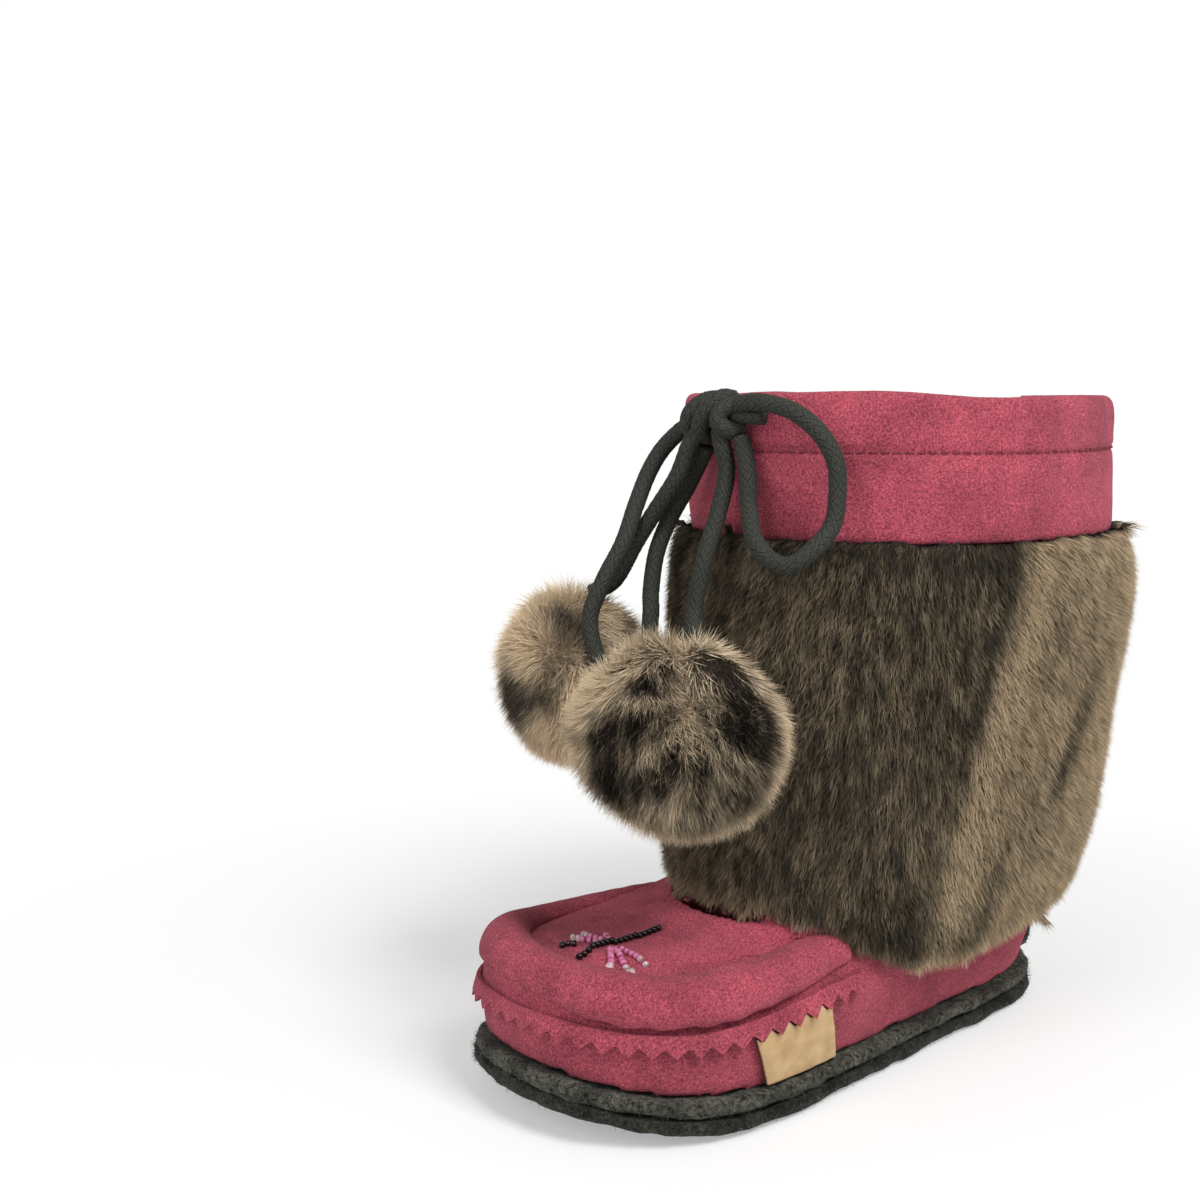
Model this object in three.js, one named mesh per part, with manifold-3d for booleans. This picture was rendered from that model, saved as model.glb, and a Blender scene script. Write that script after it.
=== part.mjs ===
// A child's mukluk boot for the left foot: a two-layer felt sole, a suede moccasin foot with a
// beaded apron, a deep fur sleeve round the shaft, and a suede collar drawn in by a braided cord
// with a fur pompom on each end.
// Millimetres. +X points to the toe, +Y to the outer side, +Z up. The origin lies on the floor
// under the middle of the sole.
import * as THREE from "three";
import { mergeVertices } from "three/addons/utils/BufferGeometryUtils.js";
import Module from "manifold-3d";

// Driving sizes of the sole
const SOLE_LENGTH = 205;
const BALL_WIDTH = 92;
const TOE_SWING = 7;
const TOE_SPRING = 9;
const OUTSOLE_THICKNESS = 5;
const MIDSOLE_THICKNESS = 5;
const INSOLE_THICKNESS = 3;

// Driving sizes of the upper
const BOOT_HEIGHT = 195;
const ROLL_SEAM_HEIGHT = 30;
const TOE_BOX_HEIGHT = 40;
const INSTEP_HEIGHT = 60;
const SHAFT_LENGTH = 134.5;
const SHAFT_WIDTH = 118;
const SHAFT_SET_BACK = 42.2;
const SHAFT_SET_OUT = 1.5;
const WALL = 2.4;

// Driving sizes of what is sewn on
const APRON_THICKNESS = 1.6;
const ROLL_WIDTH = 17;
const ROLL_HEIGHT = 21;
const TRIM_THICKNESS = 1.4;
const TRIM_TOOTH = 6.3;
const HEEL_TAB_THICKNESS = 3.6;
const HEEL_TAB_HEIGHT = 50;
const HEEL_TAB_WIDTH = 44;
const LABEL_WIDTH = 30;
const LABEL_FORWARD = 40;
const LABEL_LEAN = 8;
const LABEL_THICKNESS = 1.3;
const COLLAR_THICKNESS = 2.2;
const COLLAR_DEPTH = 42;
const FUR_PILE = 10;
const FUR_TOP = 157;
const FUR_FRONT_HEIGHT = 51;

// Driving sizes of the drawcord and of the pompoms on its ends
const CORD_DIAMETER = 5;
const POMPOM_DEPTH = 44;
const POMPOM_WIDTH = 56;
const POMPOM_HEIGHT = 53;

const GAP = 0.3;
const AROUND = 36;
const SOLE_TOP = OUTSOLE_THICKNESS + MIDSOLE_THICKNESS;

const COLOURS = {
  suede: 0xa63c4b,
  suedeApron: 0xb04a58,
  feltDark: 0x32322c,
  feltLight: 0x6e6e62,
  fur: 0x4a4136,
  leather: 0xd9b285,
  cord: 0x2b2f28,
  furDark: 0x5a4d3e,
  furLight: 0xc9b392,
};

const wasm = await Module();
wasm.setup();

const mix = (a, b, share) => a + (b - a) * share;
const clamp01 = (value) => Math.min(1, Math.max(0, value));
const smooth = (value) => clamp01(value) ** 2 * (3 - 2 * clamp01(value));

// The sole turns up ahead of the ball of the foot.
const SPRING_START = 0.22 * SOLE_LENGTH;
function spring(x) {
  const ahead = Math.max(0, x - SPRING_START) / (SOLE_LENGTH / 2 - SPRING_START);
  return TOE_SPRING * ahead ** 2;
}

// The foot's centre line swings to the inner side towards the toe.
function swing(x) {
  return -TOE_SWING * smooth((x / SOLE_LENGTH + 0.3) / 0.6);
}

// Half the sole's width at a place along it, on each side, is this share of half the ball width.
const FOOT_OUTLINE = [
  { along: -0.5, outer: 0, inner: 0 },
  { along: -0.487, outer: 0.3, inner: 0.3 },
  { along: -0.45, outer: 0.52, inner: 0.52 },
  { along: -0.38, outer: 0.67, inner: 0.67 },
  { along: -0.28, outer: 0.735, inner: 0.72 },
  { along: -0.12, outer: 0.79, inner: 0.71 },
  { along: 0.05, outer: 0.91, inner: 0.84 },
  { along: 0.19, outer: 0.99, inner: 0.98 },
  { along: 0.3, outer: 0.985, inner: 1 },
  { along: 0.39, outer: 0.86, inner: 0.9 },
  { along: 0.45, outer: 0.64, inner: 0.7 },
  { along: 0.487, outer: 0.36, inner: 0.42 },
  { along: 0.5, outer: 0, inner: 0 },
];

// The foot's outline and the shaft's oval. Both start at the heel and run by the outer side to the
// toe and back by the inner side.
function footCurve() {
  const side = (name, sign) => (row) =>
    new THREE.Vector3(row.along * SOLE_LENGTH, (sign * row[name] * BALL_WIDTH) / 2, 0);
  const outer = FOOT_OUTLINE.map(side("outer", 1));
  const inner = FOOT_OUTLINE.slice(1, -1).reverse().map(side("inner", -1));
  return new THREE.CatmullRomCurve3([...outer, ...inner], true, "centripetal");
}

const FOOT = footCurve();
const OVAL = new THREE.EllipseCurve(0, 0, SHAFT_LENGTH / 2, SHAFT_WIDTH / 2, Math.PI, -Math.PI, true);

const wrap = (turn) => ((turn % 1) + 1) % 1;

// A point round the sole's edge at a share of a turn, drawn in by inset and raised to a height.
function edgePoint(turn, inset, height) {
  const place = FOOT.getPointAt(wrap(turn));
  const tangent = FOOT.getTangentAt(wrap(turn));
  const x = place.x + tangent.y * inset;
  const y = place.y - tangent.x * inset + swing(place.x);
  return new THREE.Vector3(x, y, height + spring(x));
}

const turns = (count) => Array.from({ length: count }, (_, i) => i / count);
const edgeRing = (inset, height) => turns(AROUND).map((turn) => edgePoint(turn, inset, height));

// Triangles of the wall between rings, each with the same number of points.
function wallFaces(rings, closed) {
  const faces = [];
  const count = rings[0].length;
  const last = closed ? rings.length : rings.length - 1;
  for (let row = 0; row < last; row++) {
    for (let i = 0; i < count; i++) {
      const next = (i + 1) % count;
      const above = (row + 1) % rings.length;
      const [a, b] = [row * count + i, row * count + next];
      const [c, d] = [above * count + i, above * count + next];
      faces.push(a, c, b, b, c, d);
    }
  }
  return faces;
}

// Triangles across a ring, in rungs from one side to the other.
function capFaces(first, count, flip) {
  const faces = [];
  const push = (a, b, c) => faces.push(a, flip ? c : b, flip ? b : c);
  for (let i = 0; i < count / 2; i++) {
    const a = first + i;
    const b = first + i + 1;
    const c = first + ((count - i) % count);
    const d = first + count - i - 1;
    if (i > 0) push(a, b, c);
    if (i < count / 2 - 1) push(b, d, c);
  }
  return faces;
}

function bodyFrom(points, faces) {
  const geometry = new THREE.BufferGeometry();
  const numbers = points.flatMap((p) => [p.x, p.y, p.z]);
  geometry.setAttribute("position", new THREE.Float32BufferAttribute(numbers, 3));
  geometry.setIndex(faces);
  return geometry;
}

// A solid through stacked rings, closed at its first and last ring.
function stack(rings) {
  const count = rings[0].length;
  const faces = wallFaces(rings, false);
  faces.push(...capFaces(0, count, false));
  faces.push(...capFaces((rings.length - 1) * count, count, true));
  return bodyFrom(rings.flat(), faces);
}

// A solid whose rings run up the outside and down the inside.
function hollow(rings) {
  return bodyFrom(rings.flat(), wallFaces(rings, true));
}

// A closed geometry as a solid that can be joined and cut.
function solid(geometry) {
  const bare = geometry.clone();
  bare.deleteAttribute("normal");
  bare.deleteAttribute("uv");
  const merged = mergeVertices(bare, 1e-4);
  const vertProperties = new Float32Array(merged.attributes.position.array);
  const triVerts = new Uint32Array(merged.index.array);
  return new wasm.Manifold(new wasm.Mesh({ numProp: 3, vertProperties, triVerts }));
}

// The main body that a cut leaves, without the slivers beside it or points closer than a tolerance.
function geometryOf(cut, tolerance = 0.05) {
  const main = cut.decompose().sort((a, b) => b.volume() - a.volume())[0];
  const body = main.asOriginal().simplify(tolerance);
  const mesh = body.getMesh();
  const geometry = new THREE.BufferGeometry();
  geometry.setAttribute("position", new THREE.Float32BufferAttribute(mesh.vertProperties, 3));
  geometry.setIndex([...mesh.triVerts]);
  return geometry;
}

const boot = new THREE.Group();

function add(name, geometry, colour, roughness = 0.9) {
  const material = new THREE.MeshStandardMaterial({ color: colour, roughness, metalness: 0 });
  const mesh = new THREE.Mesh(geometry, material);
  mesh.name = name;
  boot.add(mesh);
}

// Sections of the upper from the sole to the collar. heel and toe are the section's ends as shares
// of the foot's length up to the apron, and of the shaft's length above. back and front are its
// width at the two ends as shares of the foot's outline, wide is its width as a share of the
// shaft's. round turns the foot's outline into the shaft's oval. low and high are its height at
// the heel and at the toe, as shares of the heights named in from and to.
const HEIGHTS = {
  sole: SOLE_TOP + GAP,
  seam: ROLL_SEAM_HEIGHT,
  toe: TOE_BOX_HEIGHT,
  instep: INSTEP_HEIGHT,
  top: BOOT_HEIGHT - COLLAR_THICKNESS - GAP,
};
const foot = (share) => share * SOLE_LENGTH;
const shaft = (share) => share * SHAFT_LENGTH - SHAFT_SET_BACK;
const between = (from, to, share) => mix(HEIGHTS[from], HEIGHTS[to], share);
const UPPER_SECTIONS = [
  { heel: foot(-0.476), toe: foot(0.48), back: 0.88, front: 0.91, wide: 0.6, round: 0,
    low: between("sole", "seam", 0), high: between("sole", "seam", 0) },
  { heel: foot(-0.478), toe: foot(0.485), back: 0.98, front: 0.94, wide: 0.6, round: 0,
    low: between("sole", "seam", 0.4), high: between("sole", "seam", 0.4) },
  { heel: foot(-0.481), toe: foot(0.488), back: 1.06, front: 0.955, wide: 0.6, round: 0,
    low: between("sole", "seam", 0.8), high: between("sole", "seam", 0.7) },
  { heel: foot(-0.486), toe: foot(0.486), back: 1.12, front: 0.95, wide: 0.62, round: 0,
    low: between("seam", "toe", 0.3), high: between("sole", "seam", 1) },
  { heel: foot(-0.49), toe: foot(0.468), back: 1.16, front: 0.86, wide: 0.64, round: 0,
    low: between("seam", "toe", 0.75), high: between("seam", "toe", 0.45) },
  { heel: foot(-0.495), toe: foot(0.438), back: 1.19, front: 0.7, wide: 0.66, round: 0,
    low: between("toe", "instep", 0.12), high: between("seam", "toe", 0.8) },
  { heel: foot(-0.5), toe: foot(0.41), back: 1.2, front: 0.58, wide: 0.68, round: 0.03,
    low: between("toe", "instep", 0.35), high: between("seam", "toe", 1) },
  { heel: foot(-0.502), toe: foot(0.362), back: 1.19, front: 0.5, wide: 0.7, round: 0.15,
    low: between("toe", "instep", 0.6), high: between("toe", "instep", 0.06) },
  { heel: foot(-0.504), toe: foot(0.293), back: 1.16, front: 0.48, wide: 0.72, round: 0.4,
    low: between("toe", "instep", 0.82), high: between("toe", "instep", 0.12) },
  { heel: foot(-0.508), toe: foot(0.222), back: 1.12, front: 0.48, wide: 0.74, round: 0.7,
    low: between("instep", "top", 0.01), high: between("toe", "instep", 0.23) },
  { heel: foot(-0.514), toe: foot(0.173), back: 1.1, front: 0.48, wide: 0.77, round: 0.92,
    low: between("instep", "top", 0.05), high: between("toe", "instep", 0.45) },
  { heel: shaft(-0.49), toe: shaft(0.533), back: 1, front: 1, wide: 0.8, round: 1,
    low: between("instep", "top", 0.12), high: between("instep", "top", 0.02) },
  { heel: shaft(-0.508), toe: shaft(0.518), back: 1, front: 1, wide: 0.87, round: 1,
    low: between("instep", "top", 0.26), high: between("instep", "top", 0.2) },
  { heel: shaft(-0.523), toe: shaft(0.5), back: 1, front: 1, wide: 0.94, round: 1,
    low: between("instep", "top", 0.46), high: between("instep", "top", 0.44) },
  { heel: shaft(-0.527), toe: shaft(0.482), back: 1, front: 1, wide: 0.97, round: 1,
    low: between("instep", "top", 0.65), high: between("instep", "top", 0.65) },
  { heel: shaft(-0.512), toe: shaft(0.489), back: 1, front: 1, wide: 0.99, round: 1,
    low: between("instep", "top", 0.82), high: between("instep", "top", 0.82) },
  { heel: shaft(-0.5), toe: shaft(0.5), back: 1, front: 1, wide: 1, round: 1,
    low: between("instep", "top", 1), high: between("instep", "top", 1) },
];
const APRON_EDGE = 6;
const APRON_END = 9.6;
const LAST_SECTION = UPPER_SECTIONS.length - 1;

function sectionPoint(row, turn) {
  const onFoot = FOOT.getPointAt(wrap(turn));
  const onOval = OVAL.getPointAt(wrap(turn));
  const along = mix(onFoot.x / SOLE_LENGTH, onOval.x / SHAFT_LENGTH, row.round) + 0.5;
  const x = mix(row.heel, row.toe, along);
  const footY = onFoot.y * mix(row.back, row.front, smooth(along)) + swing(x);
  const y = mix(footY, onOval.y * row.wide + SHAFT_SET_OUT, row.round);
  const z = mix(row.low, row.high, smooth(along)) + spring(x) * (1 - row.round);
  return new THREE.Vector3(x, y, z);
}

// The upper's outer skin at a share of a turn and a section number, moved outwards by a distance.
const columns = new Map();
function column(turn) {
  const key = wrap(turn).toFixed(6);
  if (!columns.has(key)) {
    const points = UPPER_SECTIONS.map((row) => sectionPoint(row, Number(key)));
    columns.set(key, new THREE.CatmullRomCurve3(points, false, "centripetal"));
  }
  return columns.get(key);
}

function skin(turn, level, outwards = 0) {
  const at = (t, l) => column(t).getPoint(clamp01(l / LAST_SECTION));
  const point = at(turn, level);
  if (outwards === 0) return point;
  const step = 0.02;
  const along = at(turn + step / 4, level).sub(at(turn - step / 4, level));
  const up = at(turn, level + step).sub(at(turn, level - step));
  return point.addScaledVector(up.cross(along).normalize(), outwards);
}

const skinRing = (level, outwards) => turns(AROUND).map((turn) => skin(turn, level, outwards));

// A level of the skin at a place round it that has a given height.
function levelAt(turn, height) {
  let [low, high] = [0, LAST_SECTION];
  for (let i = 0; i < 24; i++) {
    const middle = (low + high) / 2;
    if (skin(turn, middle).z < height) low = middle;
    else high = middle;
  }
  return low;
}

// Evenly spaced values, and the same with one more past each end.
const steps = (from, to, count) => Array.from({ length: count + 1 }, (_, i) => mix(from, to, i / count));
const widened = (list, by) => (by > 0 ? [list[0] - by, ...list, list[list.length - 1] + by] : list);

// A filled form of the upper, larger or smaller by a distance, open-ended past sole and collar.
const COLLAR_BOTTOM = levelAt(0, BOOT_HEIGHT - COLLAR_DEPTH);
const COLLAR_LEVELS = steps(COLLAR_BOTTOM, LAST_SECTION, 3);
const FORM_LEVELS = [0, 1, 2, 3, 4, 5, 6, 7, 8, 9, 9.7, 10.4, 11.2, 12, 13, ...COLLAR_LEVELS];
const LINING_LEVELS = [0, 1.5, 3, 4.5, 6, 8, 9.5, 11, 12.5, ...COLLAR_LEVELS];
function upperForm(outwards, past) {
  const rings = FORM_LEVELS.map((level) => skinRing(level, outwards));
  const under = rings[0].map((p) => p.clone().setZ(p.z - past));
  const over = rings[rings.length - 1].map((p) => p.clone().setZ(p.z + past));
  return solid(stack([under, ...rings, over]));
}

// Outsole and midsole: felt layers with rounded edges.
function felt(low, high, inset) {
  const depth = high - low;
  const shares = [
    { up: 0, inset: 1.6 },
    { up: 0.3, inset: 0.3 },
    { up: 0.7, inset: 0 },
    { up: 1, inset: 0.9 },
  ];
  return stack(shares.map((row) => edgeRing(inset + row.inset, low + row.up * depth)));
}

add("outsole", felt(0, OUTSOLE_THICKNESS, 0), COLOURS.feltDark);
add("midsole", felt(OUTSOLE_THICKNESS + GAP, SOLE_TOP, 0.6), COLOURS.feltLight);

// Upper: one hollow form, foot and shaft, open at the collar and underneath.
const outerRings = FORM_LEVELS.map((level) => skinRing(level, 0));
const innerRings = LINING_LEVELS.map((level) => skinRing(level, -WALL)).reverse();
innerRings[0].forEach((p) => p.setZ(HEIGHTS.top));
innerRings[innerRings.length - 1].forEach((p) => p.setZ(HEIGHTS.sole + spring(p.x)));
add("upper", hollow([...outerRings, ...innerRings]), COLOURS.suede);

// Insole inside the upper's foot, on the midsole.
function insoleRing(height) {
  return turns(AROUND).map((turn) => {
    const p = skin(turn, 0, -WALL - 2 * GAP);
    return p.setZ(height + spring(p.x));
  });
}
add("insole", stack([insoleRing(SOLE_TOP + GAP), insoleRing(SOLE_TOP + GAP + INSOLE_THICKNESS)]),
  COLOURS.feltLight);

// The share of a turn at which the outer side of the foot's outline reaches a place along it.
function turnAt(x) {
  let [low, high] = [0, 0.5];
  for (let i = 0; i < 24; i++) {
    const middle = (low + high) / 2;
    if (FOOT.getPointAt(middle).x < x) low = middle;
    else high = middle;
  }
  return low;
}

// A patch of sheet that lies on the skin. Its rows run along the turns, its columns along levels.
function sheetOnSkin(rows, inside, outside) {
  const rings = rows.map(({ turn, levels }) => {
    const under = levels.map((level) => skin(turn, level, inside));
    const over = levels.map((level) => skin(turn, level, outside)).reverse();
    return [...under, ...over];
  });
  return stack(rings);
}

// What is sewn to the upper is cut off a small gap above its skin.
const SUNK = 0.8;
const PAST = 0.1 * BOOT_HEIGHT;
const upperRoom = upperForm(1.4 * GAP, PAST).add(upperForm(0, PAST));
const sewnOn = (geometry) => geometryOf(solid(geometry).subtract(upperRoom));

// Apron: the plug on top of the foot, from the roll to a little under the fur.
const APRON_TOP = GAP + APRON_THICKNESS;
function apronForm(grown) {
  const levels = widened(steps(APRON_EDGE, APRON_END, 4), 0.3 * grown);
  const rows = widened(steps(0.33, 0.67, 16), 0.01 * grown).map((turn) => ({ turn, levels }));
  return sheetOnSkin(rows, -SUNK, APRON_TOP + grown);
}
const apronRoom = solid(apronForm(2 * GAP));

// A row of a table at a place between its rows.
function readAt(table, key, place) {
  const above = Math.max(1, table.findIndex((row) => row[key] >= place));
  const [a, b] = [table[above - 1], table[above]];
  const share = (place - a[key]) / (b[key] - a[key]);
  return Object.fromEntries(Object.keys(a).map((name) => [name, mix(a[name], b[name], share)]));
}

// Where the roll and the trim start and end, under the fur on each side
const ROLL_START = 0.27;
const ROLL_END = 0.735;

// The roll's section: how far in from the sole's edge and how far up from its seam each point is,
// as shares of the roll's width and height.
const ROLL_SECTION = [
  { inset: 0.17, up: 0 },
  { inset: 0.02, up: 0.11 },
  { inset: -0.08, up: 0.32 },
  { inset: -0.05, up: 0.57 },
  { inset: 0.1, up: 0.82 },
  { inset: 0.34, up: 0.98 },
  { inset: 0.58, up: 0.97 },
  { inset: 0.78, up: 0.84 },
  { inset: 0.9, up: 0.68 },
  { inset: 0.97, up: 0.56 },
  { inset: 0.6, up: 0.25 },
  { inset: 0.34, up: 0.06 },
];
const ROLL_BOTTOM = ROLL_SEAM_HEIGHT + GAP;

// How the roll thins towards its ends and leans in at the toe and the inner side. tall and wide are
// shares of its height and width, lift is how far its seam rises as a share of the seam's height,
// and lean is how far in it sits as a share of its width.
const ROLL_RUN = [
  { turn: 0.25, tall: 0.5, wide: 0.8, lift: 0.17, lean: 0.08 },
  { turn: 0.3, tall: 0.56, wide: 0.86, lift: 0.14, lean: 0.05 },
  { turn: 0.35, tall: 0.62, wide: 0.92, lift: 0.05, lean: 0 },
  { turn: 0.4, tall: 0.64, wide: 0.95, lift: -0.06, lean: 0.01 },
  { turn: 0.45, tall: 0.74, wide: 0.95, lift: -0.12, lean: 0.08 },
  { turn: 0.5, tall: 0.8, wide: 0.95, lift: -0.16, lean: 0.18 },
  { turn: 0.56, tall: 0.84, wide: 0.95, lift: -0.12, lean: 0.24 },
  { turn: 0.65, tall: 0.7, wide: 0.95, lift: -0.03, lean: 0.24 },
  { turn: 0.75, tall: 0.5, wide: 0.85, lift: 0.1, lean: 0.15 },
];
function rollForm(grown) {
  const middle = 0.45;
  const rings = steps(ROLL_END, ROLL_START, 24).map((turn) => {
    const run = readAt(ROLL_RUN, "turn", turn);
    return ROLL_SECTION.map((row) => {
      const inset = (row.inset * run.wide + run.lean) * ROLL_WIDTH;
      const up = row.up * run.tall * ROLL_HEIGHT + run.lift * ROLL_SEAM_HEIGHT;
      const out = Math.sign(row.inset - middle) * grown;
      return edgePoint(turn, inset + out, ROLL_BOTTOM + up + Math.sign(row.up - middle) * grown);
    });
  });
  return solid(stack(rings));
}
add("rolled_cuff", geometryOf(rollForm(0).subtract(upperRoom)), COLOURS.suede);

// The apron ends a gap away from the roll.
const apron = solid(apronForm(0)).subtract(upperRoom).subtract(rollForm(1.5 * GAP));
add("apron", geometryOf(apron), COLOURS.suedeApron);

// Pinked trim: a strip on the side of the foot with zigzag teeth below the roll's seam.
const TRIM_TOP_LEVEL = 2.93;
const TIP_LEVEL = 2;
const NOTCH_LEVEL = 2.42;
const TRIM_RISE = 4.5;
const trimLength = FOOT.getLength() * (ROLL_END - ROLL_START);
const trimTeeth = Math.round(trimLength / TRIM_TOOTH);
const trimRows = (grown) =>
  steps(ROLL_START, ROLL_END, 2 * trimTeeth).map((turn, i) => {
    const rise = TRIM_RISE * readAt(ROLL_RUN, "turn", turn).lift;
    return { turn, levels: [(i % 2 ? TIP_LEVEL : NOTCH_LEVEL) - grown + rise, TRIM_TOP_LEVEL + rise] };
  });
const TRIM_OUTSIDE = GAP + TRIM_THICKNESS;
add("pinked_trim", sheetOnSkin(trimRows(0), 1.5 * GAP, TRIM_OUTSIDE), COLOURS.suede);

// Label: a bare leather tab whose top is tucked up to the teeth of the trim.
const labelRoom = solid(sheetOnSkin(trimRows(0.06), -SUNK, TRIM_OUTSIDE + GAP));
const LABEL_LEVELS = [0.1, 1.5, 2.9];
const labelRings = steps(-0.5, 0.5, 4).map((across) => {
  const turnFor = (share) =>
    turnAt(LABEL_FORWARD + across * LABEL_WIDTH + (share - 0.5) * LABEL_LEAN);
  const up = LABEL_LEVELS.map((level, i) => skin(turnFor(i / 2), level, -SUNK));
  const down = LABEL_LEVELS.map((level, i) => skin(turnFor(i / 2), level, GAP + LABEL_THICKNESS));
  return [...up, ...down.reverse()];
});
const label = solid(stack(labelRings)).subtract(upperRoom).subtract(labelRoom);
add("label", geometryOf(label), COLOURS.leather);

// Heel tab: a felt counter up the back of the heel.
const TAB_BOTTOM_LEVEL = 0.12;
const TAB_OUTSIDE = GAP + HEEL_TAB_THICKNESS;
const tabTurn = HEEL_TAB_WIDTH / 2 / FOOT.getLength();
function tabForm(grown) {
  const rows = steps(-1 - 0.05 * grown, 1 + 0.05 * grown, 8).map((across) => {
    const corner = 1 - 0.25 * across ** 4;
    const top = levelAt(across * tabTurn, HEEL_TAB_HEIGHT * corner + grown);
    return { turn: across * tabTurn, levels: steps(TAB_BOTTOM_LEVEL, top, 4) };
  });
  return sheetOnSkin(rows, -SUNK, TAB_OUTSIDE + grown);
}
add("heel_tab", sewnOn(tabForm(0)), COLOURS.feltLight);

// Collar: a suede band folded over the top edge, its facing inside.
function collarForm(grown) {
  const outside = GAP + COLLAR_THICKNESS + grown;
  const inside = -WALL - GAP - COLLAR_THICKNESS - grown;
  const fold = BOOT_HEIGHT + grown;
  const ringAt = (level, outwards, height) => {
    const ring = skinRing(level, outwards);
    return height === undefined ? ring : ring.map((p) => p.setZ(height));
  };
  const [bottom, facing, middle, top] = COLLAR_LEVELS;
  const turned = 0.3 * COLLAR_THICKNESS;
  return hollow([
    ...[bottom, facing, middle, top - 0.15].map((level) => ringAt(level, outside)),
    ringAt(top, outside - turned, fold - turned),
    ringAt(top, -WALL / 2, fold),
    ringAt(top, inside + turned, fold - turned),
    ...[top - 0.15, middle, facing].map((level) => ringAt(level, inside)),
    ringAt(facing, -WALL - GAP),
    ringAt(middle, -WALL - GAP),
    ringAt(top, -WALL - GAP, HEIGHTS.top + GAP),
    ringAt(top, GAP, HEIGHTS.top + GAP),
    ringAt(middle, GAP),
    ringAt(facing, GAP),
    ringAt(bottom, GAP),
  ]);
}
const collar = solid(collarForm(0));
const collarRoom = solid(collarForm(GAP));
add("collar", geometryOf(collar, 0.01), COLOURS.suede);

// The fur sleeve's outer form. rise runs from its lower edge to its top, pile is the share of the
// pile's depth that stands out there, long and wide are shares of the shaft's length and width,
// and back is how far its middle is set back, as a share of the shaft's.
const FUR_SECTIONS = [
  { rise: 0, pile: 0.1, long: 1.02, wide: 0.71, back: 0.88 },
  { rise: 0.015, pile: 0.6, long: 1.02, wide: 0.72, back: 0.88 },
  { rise: 0.06, pile: 1, long: 1.03, wide: 0.73, back: 0.88 },
  { rise: 0.16, pile: 1, long: 1.04, wide: 0.78, back: 0.91 },
  { rise: 0.35, pile: 1, long: 1.045, wide: 0.85, back: 0.96 },
  { rise: 0.6, pile: 1, long: 1.025, wide: 0.9, back: 1.02 },
  { rise: 0.84, pile: 1, long: 1.015, wide: 0.965, back: 1.08 },
  { rise: 0.95, pile: 0.95, long: 1.01, wide: 0.97, back: 1.08 },
  { rise: 0.985, pile: 0.65, long: 1.01, wide: 0.97, back: 1.07 },
  { rise: 1, pile: 0.1, long: 1.01, wide: 0.97, back: 1.07 },
];

// Height of the sleeve's lower edge round a turn, as a share of its height in front.
const FUR_EDGE = [
  { turn: 0, height: 0.94 },
  { turn: 0.08, height: 0.9 },
  { turn: 0.15, height: 0.8 },
  { turn: 0.2, height: 0.745 },
  { turn: 0.27, height: 0.69 },
  { turn: 0.3, height: 0.65 },
  { turn: 0.333, height: 0.61 },
  { turn: 0.37, height: 0.8 },
  { turn: 0.414, height: 0.93 },
  { turn: 0.45, height: 0.985 },
  { turn: 0.5, height: 1 },
  { turn: 0.6, height: 0.95 },
  { turn: 0.66, height: 0.82 },
  { turn: 0.72, height: 0.72 },
  { turn: 0.8, height: 0.74 },
  { turn: 0.9, height: 0.86 },
  { turn: 1, height: 0.94 },
];

function furPoint(turn, rise) {
  const row = readAt(FUR_SECTIONS, "rise", rise);
  const oval = OVAL.getPointAt(wrap(turn));
  const outward = new THREE.Vector2(oval.x / SHAFT_LENGTH, oval.y / SHAFT_WIDTH).normalize();
  const depth = row.pile * FUR_PILE;
  const x = oval.x * row.long + outward.x * depth - SHAFT_SET_BACK * row.back;
  const y = oval.y * row.wide + outward.y * depth + SHAFT_SET_OUT;
  const bottom = readAt(FUR_EDGE, "turn", wrap(turn)).height * FUR_FRONT_HEIGHT;
  return new THREE.Vector3(x, y, mix(bottom, FUR_TOP, rise));
}

// A lock: a flat cone of fur that stands on the form at a place and leans along a direction.
function lock(base, lean, width, length) {
  const cone = new THREE.ConeGeometry(width / 2, length, 4);
  cone.scale(1, 1, 0.7);
  cone.translate(0, length / 2, 0);
  const turn = new THREE.Quaternion().setFromUnitVectors(new THREE.Vector3(0, 1, 0), lean);
  cone.applyQuaternion(turn);
  cone.translate(base.x, base.y, base.z);
  return solid(cone);
}

// Rows of locks round the sleeve: how many, at what rise, and how far each leans outwards.
const LOCK_ROWS = [
  { count: 24, rise: 0.05, out: 0.25, up: -1, length: 10 },
  { count: 10, rise: 0.26, out: 0.45, up: -1, length: 11 },
  { count: 10, rise: 0.48, out: 0.45, up: -1, length: 11 },
  { count: 10, rise: 0.7, out: 0.45, up: -1, length: 11 },
  { count: 18, rise: 0.955, out: 0.35, up: 1, length: 9 },
];
function furLocks() {
  return LOCK_ROWS.flatMap((row, j) =>
    turns(row.count).map((share, i) => {
      const turn = wrap(share + (j % 2) / (2 * row.count));
      const base = furPoint(turn, row.rise);
      const middle = new THREE.Vector3(-SHAFT_SET_BACK, SHAFT_SET_OUT, base.z);
      const outward = base.clone().sub(middle).normalize();
      const sway = 0.25 * Math.sin(5 * i + j);
      const lean = outward.clone().multiplyScalar(row.out);
      lean.add(new THREE.Vector3(-outward.y, outward.x, 0).multiplyScalar(sway));
      lean.z += row.up;
      base.addScaledVector(outward, -2.2);
      return lock(base, lean.normalize(), row.length * 0.8, row.length * (1 + 0.12 * Math.sin(3 * i)));
    }),
  );
}

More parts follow.
